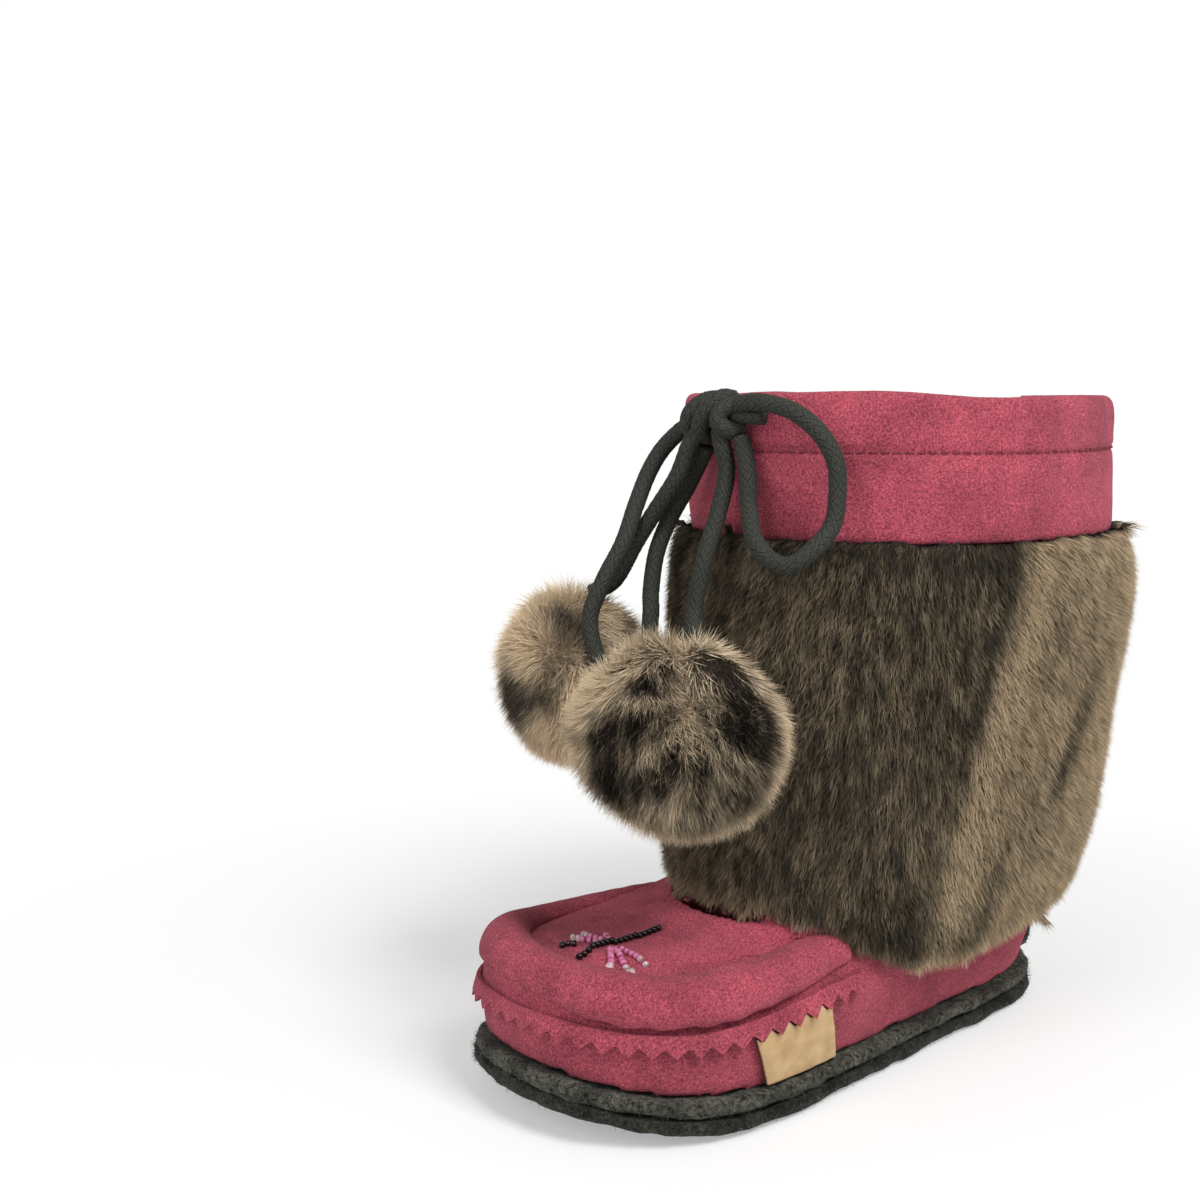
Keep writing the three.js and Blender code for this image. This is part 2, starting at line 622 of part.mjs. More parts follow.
const furRings = FUR_SECTIONS.map((row) => turns(26).map((turn) => furPoint(turn, row.rise)));
const furBody = furLocks().reduce((body, tuft) => body.add(tuft), solid(stack(furRings)));
const fur = furBody
  .subtract(upperForm(1.4 * GAP, PAST))
  .subtract(apronRoom)
  .subtract(apron)
  .subtract(rollForm(GAP))
  .subtract(labelRoom)
  .subtract(solid(tabForm(2 * GAP)))
  .subtract(collarRoom)
  .subtract(collarRoom.translate([0, 0, -GAP]));
add("fur_cuff", geometryOf(fur, 0.1), COLOURS.fur, 1);

// Drawcord. It comes out of two holes in the collar's front and is tied in a bow. The routes are
// points on its centre line, from the knot outwards, and the crossing strands are one knot.
const KNOT = new THREE.Vector3(31, -3, 188.5);
const KNOT_LOBES = [
  { forward: 0, side: 0, up: 0, wide: 7.2, high: 5.6 },
  { forward: 1, side: -4.5, up: -2.5, wide: 6, high: 6.4 },
  { forward: 0.6, side: 4, up: -0.5, wide: 5.6, high: 5.8 },
];
const KNOT_DEPTH = 4.4;
const EYELETS = [
  [[31, -3, 188.5], [28.6, -12, 188.2], [26.2, -18.4, 187.6]],
  [[31, -3, 188.5], [30.4, 5.5, 188.6], [28.6, 12, 188.6]],
];
const OUTER_LOOP = [
  [31, -3, 188.5], [32, 6, 192], [32, 15.6, 192.3], [30, 24.3, 190], [27.5, 31.2, 184.6], [25.5, 35, 177.7],
  [25, 35.9, 170.7], [26.5, 35.9, 160.6], [33, 35.2, 154.3], [37.5, 30.6, 149.6], [38.5, 23.8, 151.2],
  [37.5, 17.6, 156], [33, 11.3, 163.5], [32, 9.6, 173.4], [31.5, 6.5, 183], [31, -1, 187],
];
const INNER_LOOP = [
  [31, -3, 188.5], [32, -15, 185.5], [34, -22, 179.5], [37.5, -24.6, 172.4], [42.5, -24.6, 163],
  [48, -23.9, 152.5], [54, -25.7, 141.6], [58, -26.8, 130.8], [58, -22.5, 119], [53.5, -18, 113],
  [47.5, -15, 117.5], [43.5, -17, 131.9], [40, -20.8, 138], [36.5, -22.4, 148.7], [32.5, -21.3, 158.4],
  [29.5, -15.8, 169.6], [30, -8.5, 180], [31, -3, 186],
];
const END_TO_DARK = [
  [31, -3, 188.5], [33.5, 1, 182], [32.5, 2, 173], [35.5, 1.7, 161.6], [40.5, 1.5, 149.2], [43.5, 0.7, 134.5],
  [50, 8, 124],
];
const END_TO_LIGHT = [
  [31, -3, 188.5], [36, -9, 181], [37.5, -12.8, 171.4], [39, -20.7, 160.8], [41, -26.3, 152],
  [44, -32, 141], [47, -40.5, 136],
];

const CORD_RADIUS = CORD_DIAMETER / 2;
const CORD_SIDES = 8;
const CORD_STEP = 2.2 * CORD_DIAMETER;
function tube(route, radius) {
  const curve = new THREE.CatmullRomCurve3(route.map((place) => new THREE.Vector3(...place)));
  const count = Math.max(3, Math.round(curve.getLength() / CORD_STEP));
  const { normals, binormals } = curve.computeFrenetFrames(count, false);
  const rings = steps(0, 1, count).map((share, i) => {
    const centre = curve.getPointAt(share);
    return turns(CORD_SIDES).map((turn) => {
      const angle = -2 * Math.PI * turn;
      const ring = centre.clone().addScaledVector(normals[i], radius * Math.cos(angle));
      return ring.addScaledVector(binormals[i], radius * Math.sin(angle));
    });
  });
  return solid(stack(rings));
}

function knotForm(grown) {
  const lobes = KNOT_LOBES.map((lobe) => {
    const ball = new THREE.SphereGeometry(1, 12, 7);
    ball.scale(KNOT_DEPTH + grown, lobe.wide + grown, lobe.high + grown);
    ball.translate(KNOT.x + lobe.forward, KNOT.y + lobe.side, KNOT.z + lobe.up);
    return solid(ball);
  });
  const arms = EYELETS.map((route) => tube(route, CORD_RADIUS + grown));
  return [...lobes, ...arms].reduce((body, piece) => body.add(piece));
}
add("bow_knot", geometryOf(knotForm(0).subtract(collarRoom)), COLOURS.cord);

// Each strand starts a gap away from the knot and keeps a gap from the strands before it.
let taken = knotForm(GAP);
const STRANDS = { bow_loop_outer: OUTER_LOOP, cord_end_dark: END_TO_DARK, bow_loop_inner: INNER_LOOP,
  cord_end_light: END_TO_LIGHT };
for (const [name, route] of Object.entries(STRANDS)) {
  add(name, geometryOf(tube(route, CORD_RADIUS).subtract(taken)), COLOURS.cord);
  taken = taken.add(tube(route, CORD_RADIUS + GAP));
}

// Pompoms: flattened balls of fur with their locks fused on, each in the direction that it faces.
function pompom(centre, facing) {
  const ball = new THREE.SphereGeometry(1, 14, 9);
  ball.rotateX(Math.PI / 2);
  ball.scale(POMPOM_DEPTH / 2, POMPOM_WIDTH / 2, POMPOM_HEIGHT / 2);
  const rows = [-0.7, -0.25, 0.25, 0.7];
  const tufts = rows.flatMap((height, j) =>
    turns(j % 3 === 0 ? 5 : 7).map((share, i) => {
      const angle = 2 * Math.PI * share + j;
      const level = Math.sqrt(1 - height ** 2);
      const out = new THREE.Vector3(level * Math.cos(angle), level * Math.sin(angle), height);
      const base = out.clone().multiply(new THREE.Vector3(POMPOM_DEPTH, POMPOM_WIDTH, POMPOM_HEIGHT));
      const lean = out.clone().add(new THREE.Vector3(0, 0, -0.9 - 0.3 * Math.sin(4 * i)));
      return lock(base.multiplyScalar(0.5 - 0.05), lean.normalize(), 8, 7);
    }),
  );
  const body = tufts.reduce((whole, tuft) => whole.add(tuft), solid(ball));
  return geometryOf(body.rotate([0, 0, facing]).translate(centre).subtract(taken));
}
add("pompom_dark", pompom([66, 18.8, 107], 49.5), COLOURS.furDark, 1);
add("pompom_light", pompom([48, -48.6, 112], -32), COLOURS.furLight, 1);

export default boot;
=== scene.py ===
# The looks of a child's mukluk boot: suede foot with a gathered roll, deep fur cuff, folded collar,
# braided drawcord with fur pompoms and a two-layer felt sole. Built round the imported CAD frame.
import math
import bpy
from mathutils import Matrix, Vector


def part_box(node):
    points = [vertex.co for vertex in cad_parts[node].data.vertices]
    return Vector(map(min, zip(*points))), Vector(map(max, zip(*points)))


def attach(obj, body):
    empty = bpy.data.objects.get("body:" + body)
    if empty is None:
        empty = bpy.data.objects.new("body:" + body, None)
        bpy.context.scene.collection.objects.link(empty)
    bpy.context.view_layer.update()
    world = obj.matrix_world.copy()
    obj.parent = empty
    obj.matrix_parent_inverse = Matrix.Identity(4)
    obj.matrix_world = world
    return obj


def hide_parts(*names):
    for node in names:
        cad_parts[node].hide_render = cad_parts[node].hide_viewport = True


bl_info = {
    "name": "Mukluk Boot",
    "version": (1, 0, 0),
    "blender": (4, 5, 0),
    "location": "View3D > Sidebar > Mukluk",
    "description": "Dresses the CAD solids of a child's mukluk boot",
    "category": "Object",
}

import bmesh
import bpy
import numpy as np
from mathutils import Vector
from mathutils.bvhtree import BVHTree

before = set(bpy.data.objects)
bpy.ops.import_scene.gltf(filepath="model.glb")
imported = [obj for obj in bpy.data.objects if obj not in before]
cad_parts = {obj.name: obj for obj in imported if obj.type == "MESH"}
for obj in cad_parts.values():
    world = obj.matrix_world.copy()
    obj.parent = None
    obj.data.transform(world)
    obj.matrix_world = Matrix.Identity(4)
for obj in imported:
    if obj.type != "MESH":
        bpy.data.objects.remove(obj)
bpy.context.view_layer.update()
MM = 0.001
CORD_DIAMETER = 0.005
SHAFT_MIDDLE = Vector((-0.0422, 0.0015, 0.0))
SEAM_HEIGHT = 0.179
SLEEVE_BOTTOM, SLEEVE_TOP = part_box("fur_cuff")[0].z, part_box("fur_cuff")[1].z


# Point and mesh helpers


def coordinates(mesh):
    values = np.empty(len(mesh.vertices) * 3, np.float32)
    mesh.vertices.foreach_get("co", values)
    return values.reshape(-1, 3).astype(float)


def directions(mesh):
    values = np.empty(len(mesh.vertices) * 3, np.float32)
    mesh.vertices.foreach_get("normal", values)
    return values.reshape(-1, 3).astype(float)


def move_points(mesh, points):
    mesh.vertices.foreach_set("co", points.astype(np.float32).ravel())
    mesh.update()


def lattice_value(cells, seed):
    """A fixed value from 0 to 1 for each cell of a lattice."""
    mixed = (cells @ np.array([374761393, 668265263, 2147483647 // 7])) + seed * 1274126177
    mixed = (mixed ^ (mixed >> 13)) * 1103515245 & 0x7FFFFFFF
    return ((mixed ^ (mixed >> 16)) & 0xFFFF) / 65535.0


def lumps(points, size, seed=0):
    """Smooth noise from -1 to 1 whose lumps are about size across, in metres."""
    scaled = points / size
    cell = np.floor(scaled).astype(np.int64)
    share = scaled - cell
    share = share * share * (3 - 2 * share)
    total = np.zeros(len(points))
    for corner in range(8):
        step = np.array([corner & 1, corner >> 1 & 1, corner >> 2 & 1])
        weight = np.prod(np.where(step == 1, share, 1 - share), axis=1)
        total += weight * lattice_value(cell + step, seed)
    return total * 2 - 1


def smooth_step(value, low, high):
    share = np.clip((value - low) / (high - low), 0, 1)
    return share * share * (3 - 2 * share)


def give(mesh, name, values, kind="FLOAT"):
    attribute = mesh.attributes.new(name, kind, "POINT")
    field = "vector" if kind == "FLOAT_VECTOR" else "value"
    attribute.data.foreach_set(field, np.asarray(values, np.float32).ravel())


def new_piece(name, mesh):
    piece = bpy.data.objects.new(name, mesh)
    bpy.context.scene.collection.objects.link(piece)
    return piece


def duplicate(piece):
    copy = piece.copy()
    copy.data = piece.data.copy()
    bpy.context.scene.collection.objects.link(copy)
    return copy


def cut_faces(mesh, is_gone):
    """Takes away the faces that a test picks."""
    form = bmesh.new()
    form.from_mesh(mesh)
    gone = [face for face in form.faces if is_gone(face)]
    bmesh.ops.delete(form, geom=gone, context="FACES")
    form.to_mesh(mesh)
    form.free()


def three_lumps(points, size, seed):
    """Directions that wander smoothly over a surface."""
    return np.stack([lumps(points, size, seed + i) for i in range(3)], 1)


def node_copy(node, name):
    """A piece whose mesh is a merged copy of a CAD node's."""
    form = bmesh.new()
    form.from_mesh(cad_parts[node].data)
    bmesh.ops.remove_doubles(form, verts=form.verts, dist=2e-6)
    points = [vertex.co.copy() for vertex in form.verts]
    faces = [[vertex.index for vertex in face.verts] for face in form.faces]
    form.free()
    mesh = bpy.data.meshes.new(name)
    mesh.from_pydata(points, [], faces)
    return new_piece(name, mesh)


def settle(piece):
    """Turns the piece's modifiers into its plain mesh."""
    evaluated = piece.evaluated_get(bpy.context.evaluated_depsgraph_get())
    mesh = bpy.data.meshes.new_from_object(evaluated)
    piece.modifiers.clear()
    old = piece.data
    piece.data = mesh
    bpy.data.meshes.remove(old)
    return piece


def soft_form(node, name, levels, voxel, passes):
    """A CAD node's form, subdivided, remeshed evenly and smoothed."""
    piece = node_copy(node, name)
    if levels:
        rounding = piece.modifiers.new("Rounding", "SUBSURF")
        rounding.levels = levels
        rounding.render_levels = levels
    if voxel:
        even = piece.modifiers.new("Even", "REMESH")
        even.mode = "VOXEL"
        even.voxel_size = voxel
    if passes:
        calm = piece.modifiers.new("Calm", "SMOOTH")
        calm.factor = 0.5
        calm.iterations = passes
    return settle(piece)


def shade_smooth(piece):
    piece.data.polygons.foreach_set("use_smooth", [True] * len(piece.data.polygons))
    piece.data.update()


def finish_piece(piece, finish, replaced=None):
    """Gives a piece its material and its body, and hides the CAD part that it stands for."""
    if finish is not None:
        piece.data.materials.clear()
        piece.data.materials.append(finish)
    shade_smooth(piece)
    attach(piece, "root")
    if replaced:
        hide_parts(replaced)
    return piece


# Materials


def feed(tree, node, values):
    """Gives a node's sockets, by name or place, a constant or a link from another socket."""
    for socket, value in values.items():
        if isinstance(value, bpy.types.NodeSocket):
            tree.links.new(value, node.inputs[socket])
        else:
            node.inputs[socket].default_value = value


def add_node(tree, kind, inputs, **settings):
    node = tree.nodes.new(kind)
    for label, value in settings.items():
        setattr(node, label, value)
    feed(tree, node, inputs)
    return node


def new_material(name):
    material = bpy.data.materials.new(name)
    material.use_nodes = True
    tree = material.node_tree
    place = add_node(tree, "ShaderNodeTexCoord", {}).outputs["Object"]
    return material, tree, tree.nodes["Principled BSDF"], place


def grey(level):
    return (level, level, level)


def noise_value(tree, place, scale, detail=2.0, roughness=0.5):
    inputs = {"Vector": place, "Scale": scale, "Detail": detail, "Roughness": roughness}
    return add_node(tree, "ShaderNodeTexNoise", inputs).outputs["Fac"]


def ramp(tree, value, stops):
    """Colours along a value, from a list of (place, colour)."""
    node = add_node(tree, "ShaderNodeValToRGB", {"Fac": value})
    elements = node.color_ramp.elements
    while len(elements) < len(stops):
        elements.new(0.5)
    for element, (place, colour) in zip(elements, stops):
        element.position = place
        element.color = (*colour, 1.0)
    return node.outputs["Color"]


def mixed(tree, share, first, second, kind="MIX"):
    inputs = {0: share, 6: first, 7: second}
    return add_node(tree, "ShaderNodeMix", inputs, data_type="RGBA", blend_type=kind).outputs[2]


def sum_of(tree, first, second, kind="ADD"):
    return add_node(tree, "ShaderNodeMath", {0: first, 1: second}, operation=kind).outputs[0]


def bump(tree, value, strength, distance):
    inputs = {"Height": value, "Strength": strength, "Distance": distance}
    return add_node(tree, "ShaderNodeBump", inputs).outputs["Normal"]


def attribute_value(tree, label):
    return add_node(tree, "ShaderNodeAttribute", {}, attribute_name=label).outputs["Fac"]


def suede(name, deep, middle, light):
    """Suede with a short nap: fine heathered specks over slow changes of shade."""
    material, tree, shader, place = new_material(name)
    specks = noise_value(tree, place, 1700, 4.0, 0.7)
    colour = ramp(tree, specks, [(0.33, deep), (0.5, middle), (0.67, light)])
    brushed = ramp(tree, noise_value(tree, place, 60, 3.0), [(0.35, grey(0.7)), (0.65, grey(1.0))])
    nap = ramp(tree, noise_value(tree, place, 320), [(0.3, grey(0.86)), (0.7, grey(1.0))])
    shaded = mixed(tree, 1.0, brushed, nap, "MULTIPLY")
    feed(tree, shader, {
        "Base Color": mixed(tree, 1.0, colour, shaded, "MULTIPLY"),
        "Normal": bump(tree, specks, 0.9, 0.0006), "Roughness": 0.95, "Specular IOR Level": 0.12,
        "Sheen Weight": 0.12, "Sheen Roughness": 0.5, "Sheen Tint": (1.0, 0.55, 0.6, 1.0)})
    return material


def felt(name, deep, light):
    """Dense wool felt: dark body with pale fibres and lint in it."""
    material, tree, shader, place = new_material(name)
    body = ramp(tree, noise_value(tree, place, 700, 5.0, 0.8), [(0.4, deep), (0.62, light)])
    clouds = ramp(tree, noise_value(tree, place, 110, 3.0), [(0.38, grey(0.45)), (0.62, grey(1.0))])
    fibres = noise_value(tree, place, 700, 4.0, 0.75)
    feed(tree, shader, {
        "Base Color": mixed(tree, 1.0, body, clouds, "MULTIPLY"),
        "Normal": bump(tree, fibres, 0.9, 0.0009), "Roughness": 1.0, "Sheen Weight": 0.08,
        "Specular IOR Level": 0.05})
    return material


def fur(name, root, dark, pale, grain):
    """Hair coloured from root to tip, darker or paler by its tone, its own shade and fine streaks. Its dark
    roots are painted shade deep in the coat.
    """
    material, tree, shader, place = new_material(name)
    along = attribute_value(tree, "along")
    # Painted shade: the root colour and the darker lower part of both ramps stand for the shade deep in the
    # dense coat.
    dim = ramp(tree, along, [(0.0, root), (0.6, dark), (1.0, tuple(c * 1.7 for c in dark))])
    bright = ramp(tree, along, [(0.0, root), (0.4, tuple(c * 0.72 for c in pale)), (0.9, pale)])
    stretch = add_node(tree, "ShaderNodeVectorMath", {0: place, 1: (1.0, 1.0, 0.4)}, operation="MULTIPLY")
    streak = sum_of(tree, noise_value(tree, stretch.outputs[0], 300), 0.5, "SUBTRACT")
    own = sum_of(tree, sum_of(tree, attribute_value(tree, "shade"), 0.5, "SUBTRACT"), 0.3, "MULTIPLY")
    spread = sum_of(tree, own, sum_of(tree, streak, grain, "MULTIPLY"))
    tone = sum_of(tree, attribute_value(tree, "tone"), spread)
    share = ramp(tree, tone, [(0.05, grey(0)), (0.95, grey(1))])
    feed(tree, shader, {"Base Color": mixed(tree, share, dim, bright), "Roughness": 0.75,
                        "Specular IOR Level": 0.15})
    return material


def floor_paper(name):
    """Pale paper whose far part glows as white as the background."""
    material, tree, shader, place = new_material(name)
    feed(tree, shader, {"Base Color": (0.9, 0.9, 0.9, 1.0), "Roughness": 1.0, "Specular IOR Level": 0.0})
    reach = add_node(tree, "ShaderNodeVectorMath", {0: place}, operation="LENGTH")
    share = ramp(tree, reach.outputs["Value"], [(0.13, grey(0.35)), (0.32, grey(1.0))])
    glow = add_node(tree, "ShaderNodeEmission", {})
    blend = add_node(tree, "ShaderNodeMixShader", {0: share, 1: shader.outputs[0], 2: glow.outputs[0]})
    feed(tree, tree.nodes["Material Output"], {"Surface": blend.outputs[0]})
    return material


def braid_cloth(name, deep, light):
    """Braided cord: the yarns stand out by geometry; this gives their fibre, with painted shade in the gaps
    between the yarns and painted highlight on their crests.
    """
    material, tree, shader, place = new_material(name)
    fibre = sum_of(tree, noise_value(tree, place, 2600), 0.5, "SUBTRACT")
    # Painted shade and highlight: the colour runs from deep in the gaps between the yarns to light on their
    # crests.
    height = sum_of(tree, attribute_value(tree, "yarn_shade"), sum_of(tree, fibre, 0.9, "MULTIPLY"))
    feed(tree, shader, {"Base Color": ramp(tree, height, [(0.1, deep), (0.95, light)]), "Roughness": 0.8,
                        "Specular IOR Level": 0.3})
    return material


def smooth_leather(name, deep, light, edge_colour):
    """Tan leather with a fine grain, darker on its edges, where the surface does not face outward."""
    material, tree, shader, place = new_material(name)
    grain = noise_value(tree, place, 1100, 4.0, 0.6)
    face = ramp(tree, noise_value(tree, place, 160, 3.0), [(0.3, deep), (0.7, light)])
    colour = mixed(tree, attribute_value(tree, "edge_share"), face, (*edge_colour, 1.0))
    feed(tree, shader, {"Base Color": colour, "Normal": bump(tree, grain, 0.3, 0.0003), "Roughness": 0.6})
    return material


def fleece(name):
    """Cream pile lining."""
    material, tree, shader, place = new_material(name)
    curls = noise_value(tree, place, 420, 4.0, 0.7)
    colour = ramp(tree, curls, [(0.3, (0.25, 0.2, 0.14)), (0.65, (0.62, 0.54, 0.42))])
    feed(tree, shader, {"Base Color": colour, "Normal": bump(tree, curls, 1.0, 0.002), "Roughness": 1.0})
    return material


def glass_bead(name, deep, light, transmission):
    """Glass with a slightly uneven colour."""
    material, tree, shader, place = new_material(name)
    uneven = noise_value(tree, place, 500, 1.0)
    feed(tree, shader, {"Base Color": ramp(tree, uneven, [(0.35, deep), (0.65, light)]), "Roughness": 0.12,
                        "Transmission Weight": transmission, "IOR": 1.5})
    return material


# Geometry node trees


def new_tree(name, inputs):
    tree = bpy.data.node_groups.new(name, "GeometryNodeTree")
    tree.is_modifier = True
    face = tree.interface
    face.new_socket("Geometry", in_out="INPUT", socket_type="NodeSocketGeometry")
    for label, kind, default in inputs:
        socket = face.new_socket(label, in_out="INPUT", socket_type="NodeSocket" + kind)
        if default is not None:
            socket.default_value = default
    face.new_socket("Geometry", in_out="OUTPUT", socket_type="NodeSocketGeometry")
    return tree, tree.nodes.new("NodeGroupInput").outputs


def grow(piece, tree, values):
    """Runs a tree on a piece with its named inputs set, and keeps the result as a plain mesh."""
    modifier = piece.modifiers.new(tree.name, "NODES")
    modifier.node_group = tree
    for item in tree.interface.items_tree:
        if item.in_out == "INPUT" and item.name in values:
            modifier[item.identifier] = values[item.name]
    piece.update_tag()
    bpy.context.view_layer.update()
    return settle(piece)


def keep_real(tree, finish, instances):
    """Ends a tree: the copies become real, get the finish and go out."""
    real = add_node(tree, "GeometryNodeRealizeInstances", {"Geometry": instances})
    painted = add_node(tree, "GeometryNodeSetMaterial",
                       {"Geometry": real.outputs["Geometry"], "Material": finish})
    add_node(tree, "NodeGroupOutput", {"Geometry": painted.outputs["Geometry"]})


def random_between(tree, low, high, seed):
    inputs = {2: low, 3: high, "Seed": seed}
    return add_node(tree, "FunctionNodeRandomValue", inputs, data_type="FLOAT").outputs[1]


def named(tree, label, kind="FLOAT"):
    node = add_node(tree, "GeometryNodeInputNamedAttribute", {"Name": label}, data_type=kind)
    return next(output for output in node.outputs if output.enabled and output.name == "Attribute")


def combine(tree, x, y, z):
    return add_node(tree, "ShaderNodeCombineXYZ", {0: x, 1: y, 2: z}).outputs["Vector"]


def hair_tree():
    """Scatters strands over a surface, each along the surface's comb direction."""
    tree, given = new_tree("Hair Coat", [
        ("Strand", "Object", None), ("Density", "Float", 1.0e6), ("Length", "Float", 0.01),
        ("Width", "Float", 0.0003), ("Spread", "Float", 0.3), ("Finish", "Material", None),
        ("Seed", "Int", 1)])
    scatter = add_node(tree, "GeometryNodeDistributePointsOnFaces",
                       {"Mesh": given["Geometry"], "Density": given["Density"], "Seed": given["Seed"]})
    strand = add_node(tree, "GeometryNodeObjectInfo", {"Object": given["Strand"]})
    stray = combine(tree, *(random_between(tree, -1.0, 1.0, seed) for seed in (11, 12, 13)))
    strayed = add_node(tree, "ShaderNodeVectorMath", {0: stray, "Scale": given["Spread"]},
                       operation="SCALE")
    lean = add_node(tree, "ShaderNodeVectorMath",
                    {0: named(tree, "comb", "FLOAT_VECTOR"), 1: strayed.outputs["Vector"]}, operation="ADD")
    align = add_node(tree, "FunctionNodeAlignRotationToVector", {"Vector": lean.outputs["Vector"]},
                     axis="Z")
    twist = add_node(tree, "FunctionNodeEulerToRotation",
                     {0: combine(tree, 0.0, 0.0, random_between(tree, 0.0, 2 * math.pi, 14))})
    turned = add_node(tree, "FunctionNodeRotateRotation", {0: align.outputs[0], 1: twist.outputs[0]},
                      rotation_space="LOCAL")
    length = sum_of(tree, sum_of(tree, given["Length"], named(tree, "pile"), "MULTIPLY"),
                    random_between(tree, 0.7, 1.15, 15), "MULTIPLY")
    width = sum_of(tree, given["Width"], random_between(tree, 0.7, 1.3, 16), "MULTIPLY")
    copies = add_node(tree, "GeometryNodeInstanceOnPoints", {
        "Points": scatter.outputs["Points"], "Instance": strand.outputs["Geometry"],
        "Rotation": turned.outputs[0], "Scale": combine(tree, width, length, length)})
    shade = add_node(tree, "GeometryNodeStoreNamedAttribute",
                     {"Name": "shade", "Geometry": copies.outputs["Instances"],
                      "Value": random_between(tree, 0.0, 1.0, 17)}, domain="INSTANCE")
    keep_real(tree, given["Finish"], shade.outputs["Geometry"])


def row_tree():
    """Places copies of an item along the edges that it is given, a pitch apart."""
    tree, given = new_tree("Row Of Items", [
        ("Item", "Object", None), ("Pitch", "Float", 0.002), ("Size", "Float", 0.002),
        ("Finish", "Material", None), ("Seed", "Int", 1)])
    path = add_node(tree, "GeometryNodeMeshToCurve", {"Mesh": given["Geometry"]})
    spaced = add_node(tree, "GeometryNodeResampleCurve",
                      {"Curve": path.outputs["Curve"], "Length": given["Pitch"]}, mode="LENGTH")
    item = add_node(tree, "GeometryNodeObjectInfo", {"Object": given["Item"]})
    tangent = add_node(tree, "GeometryNodeInputTangent", {})
    align = add_node(tree, "FunctionNodeAlignRotationToVector", {"Vector": tangent.outputs[0]}, axis="X")
    scale = sum_of(tree, given["Size"], random_between(tree, 0.93, 1.05, given["Seed"]), "MULTIPLY")
    copies = add_node(tree, "GeometryNodeInstanceOnPoints", {
        "Points": spaced.outputs["Curve"], "Instance": item.outputs["Geometry"],
        "Rotation": align.outputs[0], "Scale": combine(tree, scale, scale, scale)})
    keep_real(tree, given["Finish"], copies.outputs["Instances"])


def helper_object(name, points, faces):
    """An object that a tree copies. It is taken away once every piece is made."""
    mesh = bpy.data.meshes.new(name)
    mesh.from_pydata(points, [], faces)
    return new_piece(name, mesh)


def strand_object():
    """One strand of hair, a unit wide and long, bent over, with how far along it each point is."""
    points = [(-0.5, 0.0, 0.0), (0.5, 0.0, 0.0), (-0.36, 0.07, 0.5), (0.36, 0.07, 0.5), (0.0, 0.27, 1.0)]
    strand = helper_object("strand", points, [(0, 1, 3, 2), (2, 3, 4)])
    give(strand.data, "along", [point[2] for point in points])
    return strand


def lathe_object(name, profile, sides):
    """A closed form turned about X, from a list of (along, radius)."""
    angles = [2 * math.pi * side / sides for side in range(sides)]
    points = [(along, radius * math.cos(angle), radius * math.sin(angle))
              for along, radius in profile for angle in angles]
    faces = []
    for row in range(len(profile) - 1):
        for side in range(sides):
            after = (side + 1) % sides
            faces.append((row * sides + side, row * sides + after, (row + 1) * sides + after,
                          (row + 1) * sides + side))
    faces.append(tuple(reversed(range(sides))))
    faces.append(tuple(range((len(profile) - 1) * sides, len(profile) * sides)))
    piece = helper_object(name, points, faces)
    form = bmesh.new()
    form.from_mesh(piece.data)
    bmesh.ops.recalc_face_normals(form, faces=form.faces)
    form.to_mesh(piece.data)
    form.free()
    return piece


def bead_object():
    """A seed bead, one unit across, its hole along X."""
    return lathe_object("bead", [(-0.3, 0.16), (-0.36, 0.3), (-0.2, 0.46), (0.0, 0.5), (0.2, 0.46),
                                 (0.36, 0.3), (0.3, 0.16)], 9)


def stitch_object():
    """A stitch of thread, one unit long, along X."""
    return lathe_object("stitch", [(-0.5, 0.04), (-0.42, 0.1), (-0.2, 0.13), (0.2, 0.13), (0.42, 0.1),
                                   (0.5, 0.04)], 7)


def surface_of(*names):
    """One surface for rays to meet, made of the named pieces."""
    points, faces = [], []
    for name in names:
        mesh = bpy.data.objects[name].data
        first = len(points)
        points.extend(vertex.co.copy() for vertex in mesh.vertices)
        faces.extend([first + i for i in face.vertices] for face in mesh.polygons)
    return BVHTree.FromPolygons(points, faces)


def item_rows(name, rows, item, pitch, size, finish):
    """A piece made of items along several rows of points."""
    points, edges = [], []
    for row in rows:
        first = len(points)
        points.extend(tuple(place) for place in row)
        edges.extend((first + i, first + i + 1) for i in range(len(row) - 1))
    mesh = bpy.data.meshes.new(name)
    mesh.from_pydata(points, edges, [])
    piece = new_piece(name, mesh)
    grow(piece, bpy.data.node_groups["Row Of Items"],
         {"Item": bpy.data.objects[item], "Pitch": pitch, "Size": size, "Finish": finish, "Seed": 3})
    return finish_piece(piece, None)


def coat(name, base, settings):
    """Grows hair on a base surface that has comb, pile and tone."""
    grow(base, bpy.data.node_groups["Hair Coat"], {"Strand": bpy.data.objects["strand"], **settings})
    base.name = name
    base.data.name = name
    shade_smooth(base)
    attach(base, "root")


# Sizes and colours that a user would change


class MuklukSizes(bpy.types.PropertyGroup):
    cuff_hair_length: bpy.props.FloatProperty(
        name="Cuff hair length", description="Length of the hairs of the fur cuff",
        default=0.0054, min=0.002, max=0.03, unit="LENGTH")
    cuff_hair_density: bpy.props.FloatProperty(
        name="Cuff hair density", description="Hairs of the fur cuff on a square metre",
        default=5.2e6, min=1e4, max=2e7)
    pompom_hair_length: bpy.props.FloatProperty(
        name="Pompom hair length", description="Length of the hairs of the pompoms",
        default=0.0075, min=0.002, max=0.03, unit="LENGTH")
    hair_width: bpy.props.FloatProperty(
        name="Hair width", description="Width of a strand of hair at its root",
        default=0.00024, min=0.0001, max=0.002, unit="LENGTH")
    bead_diameter: bpy.props.FloatProperty(
        name="Bead diameter", description="Diameter of the seed beads",
        default=0.0020, min=0.0005, max=0.006, unit="LENGTH")
    stitch_length: bpy.props.FloatProperty(
        name="Stitch length", description="Length of one stitch of the collar's seam",
        default=0.0026, min=0.001, max=0.01, unit="LENGTH")


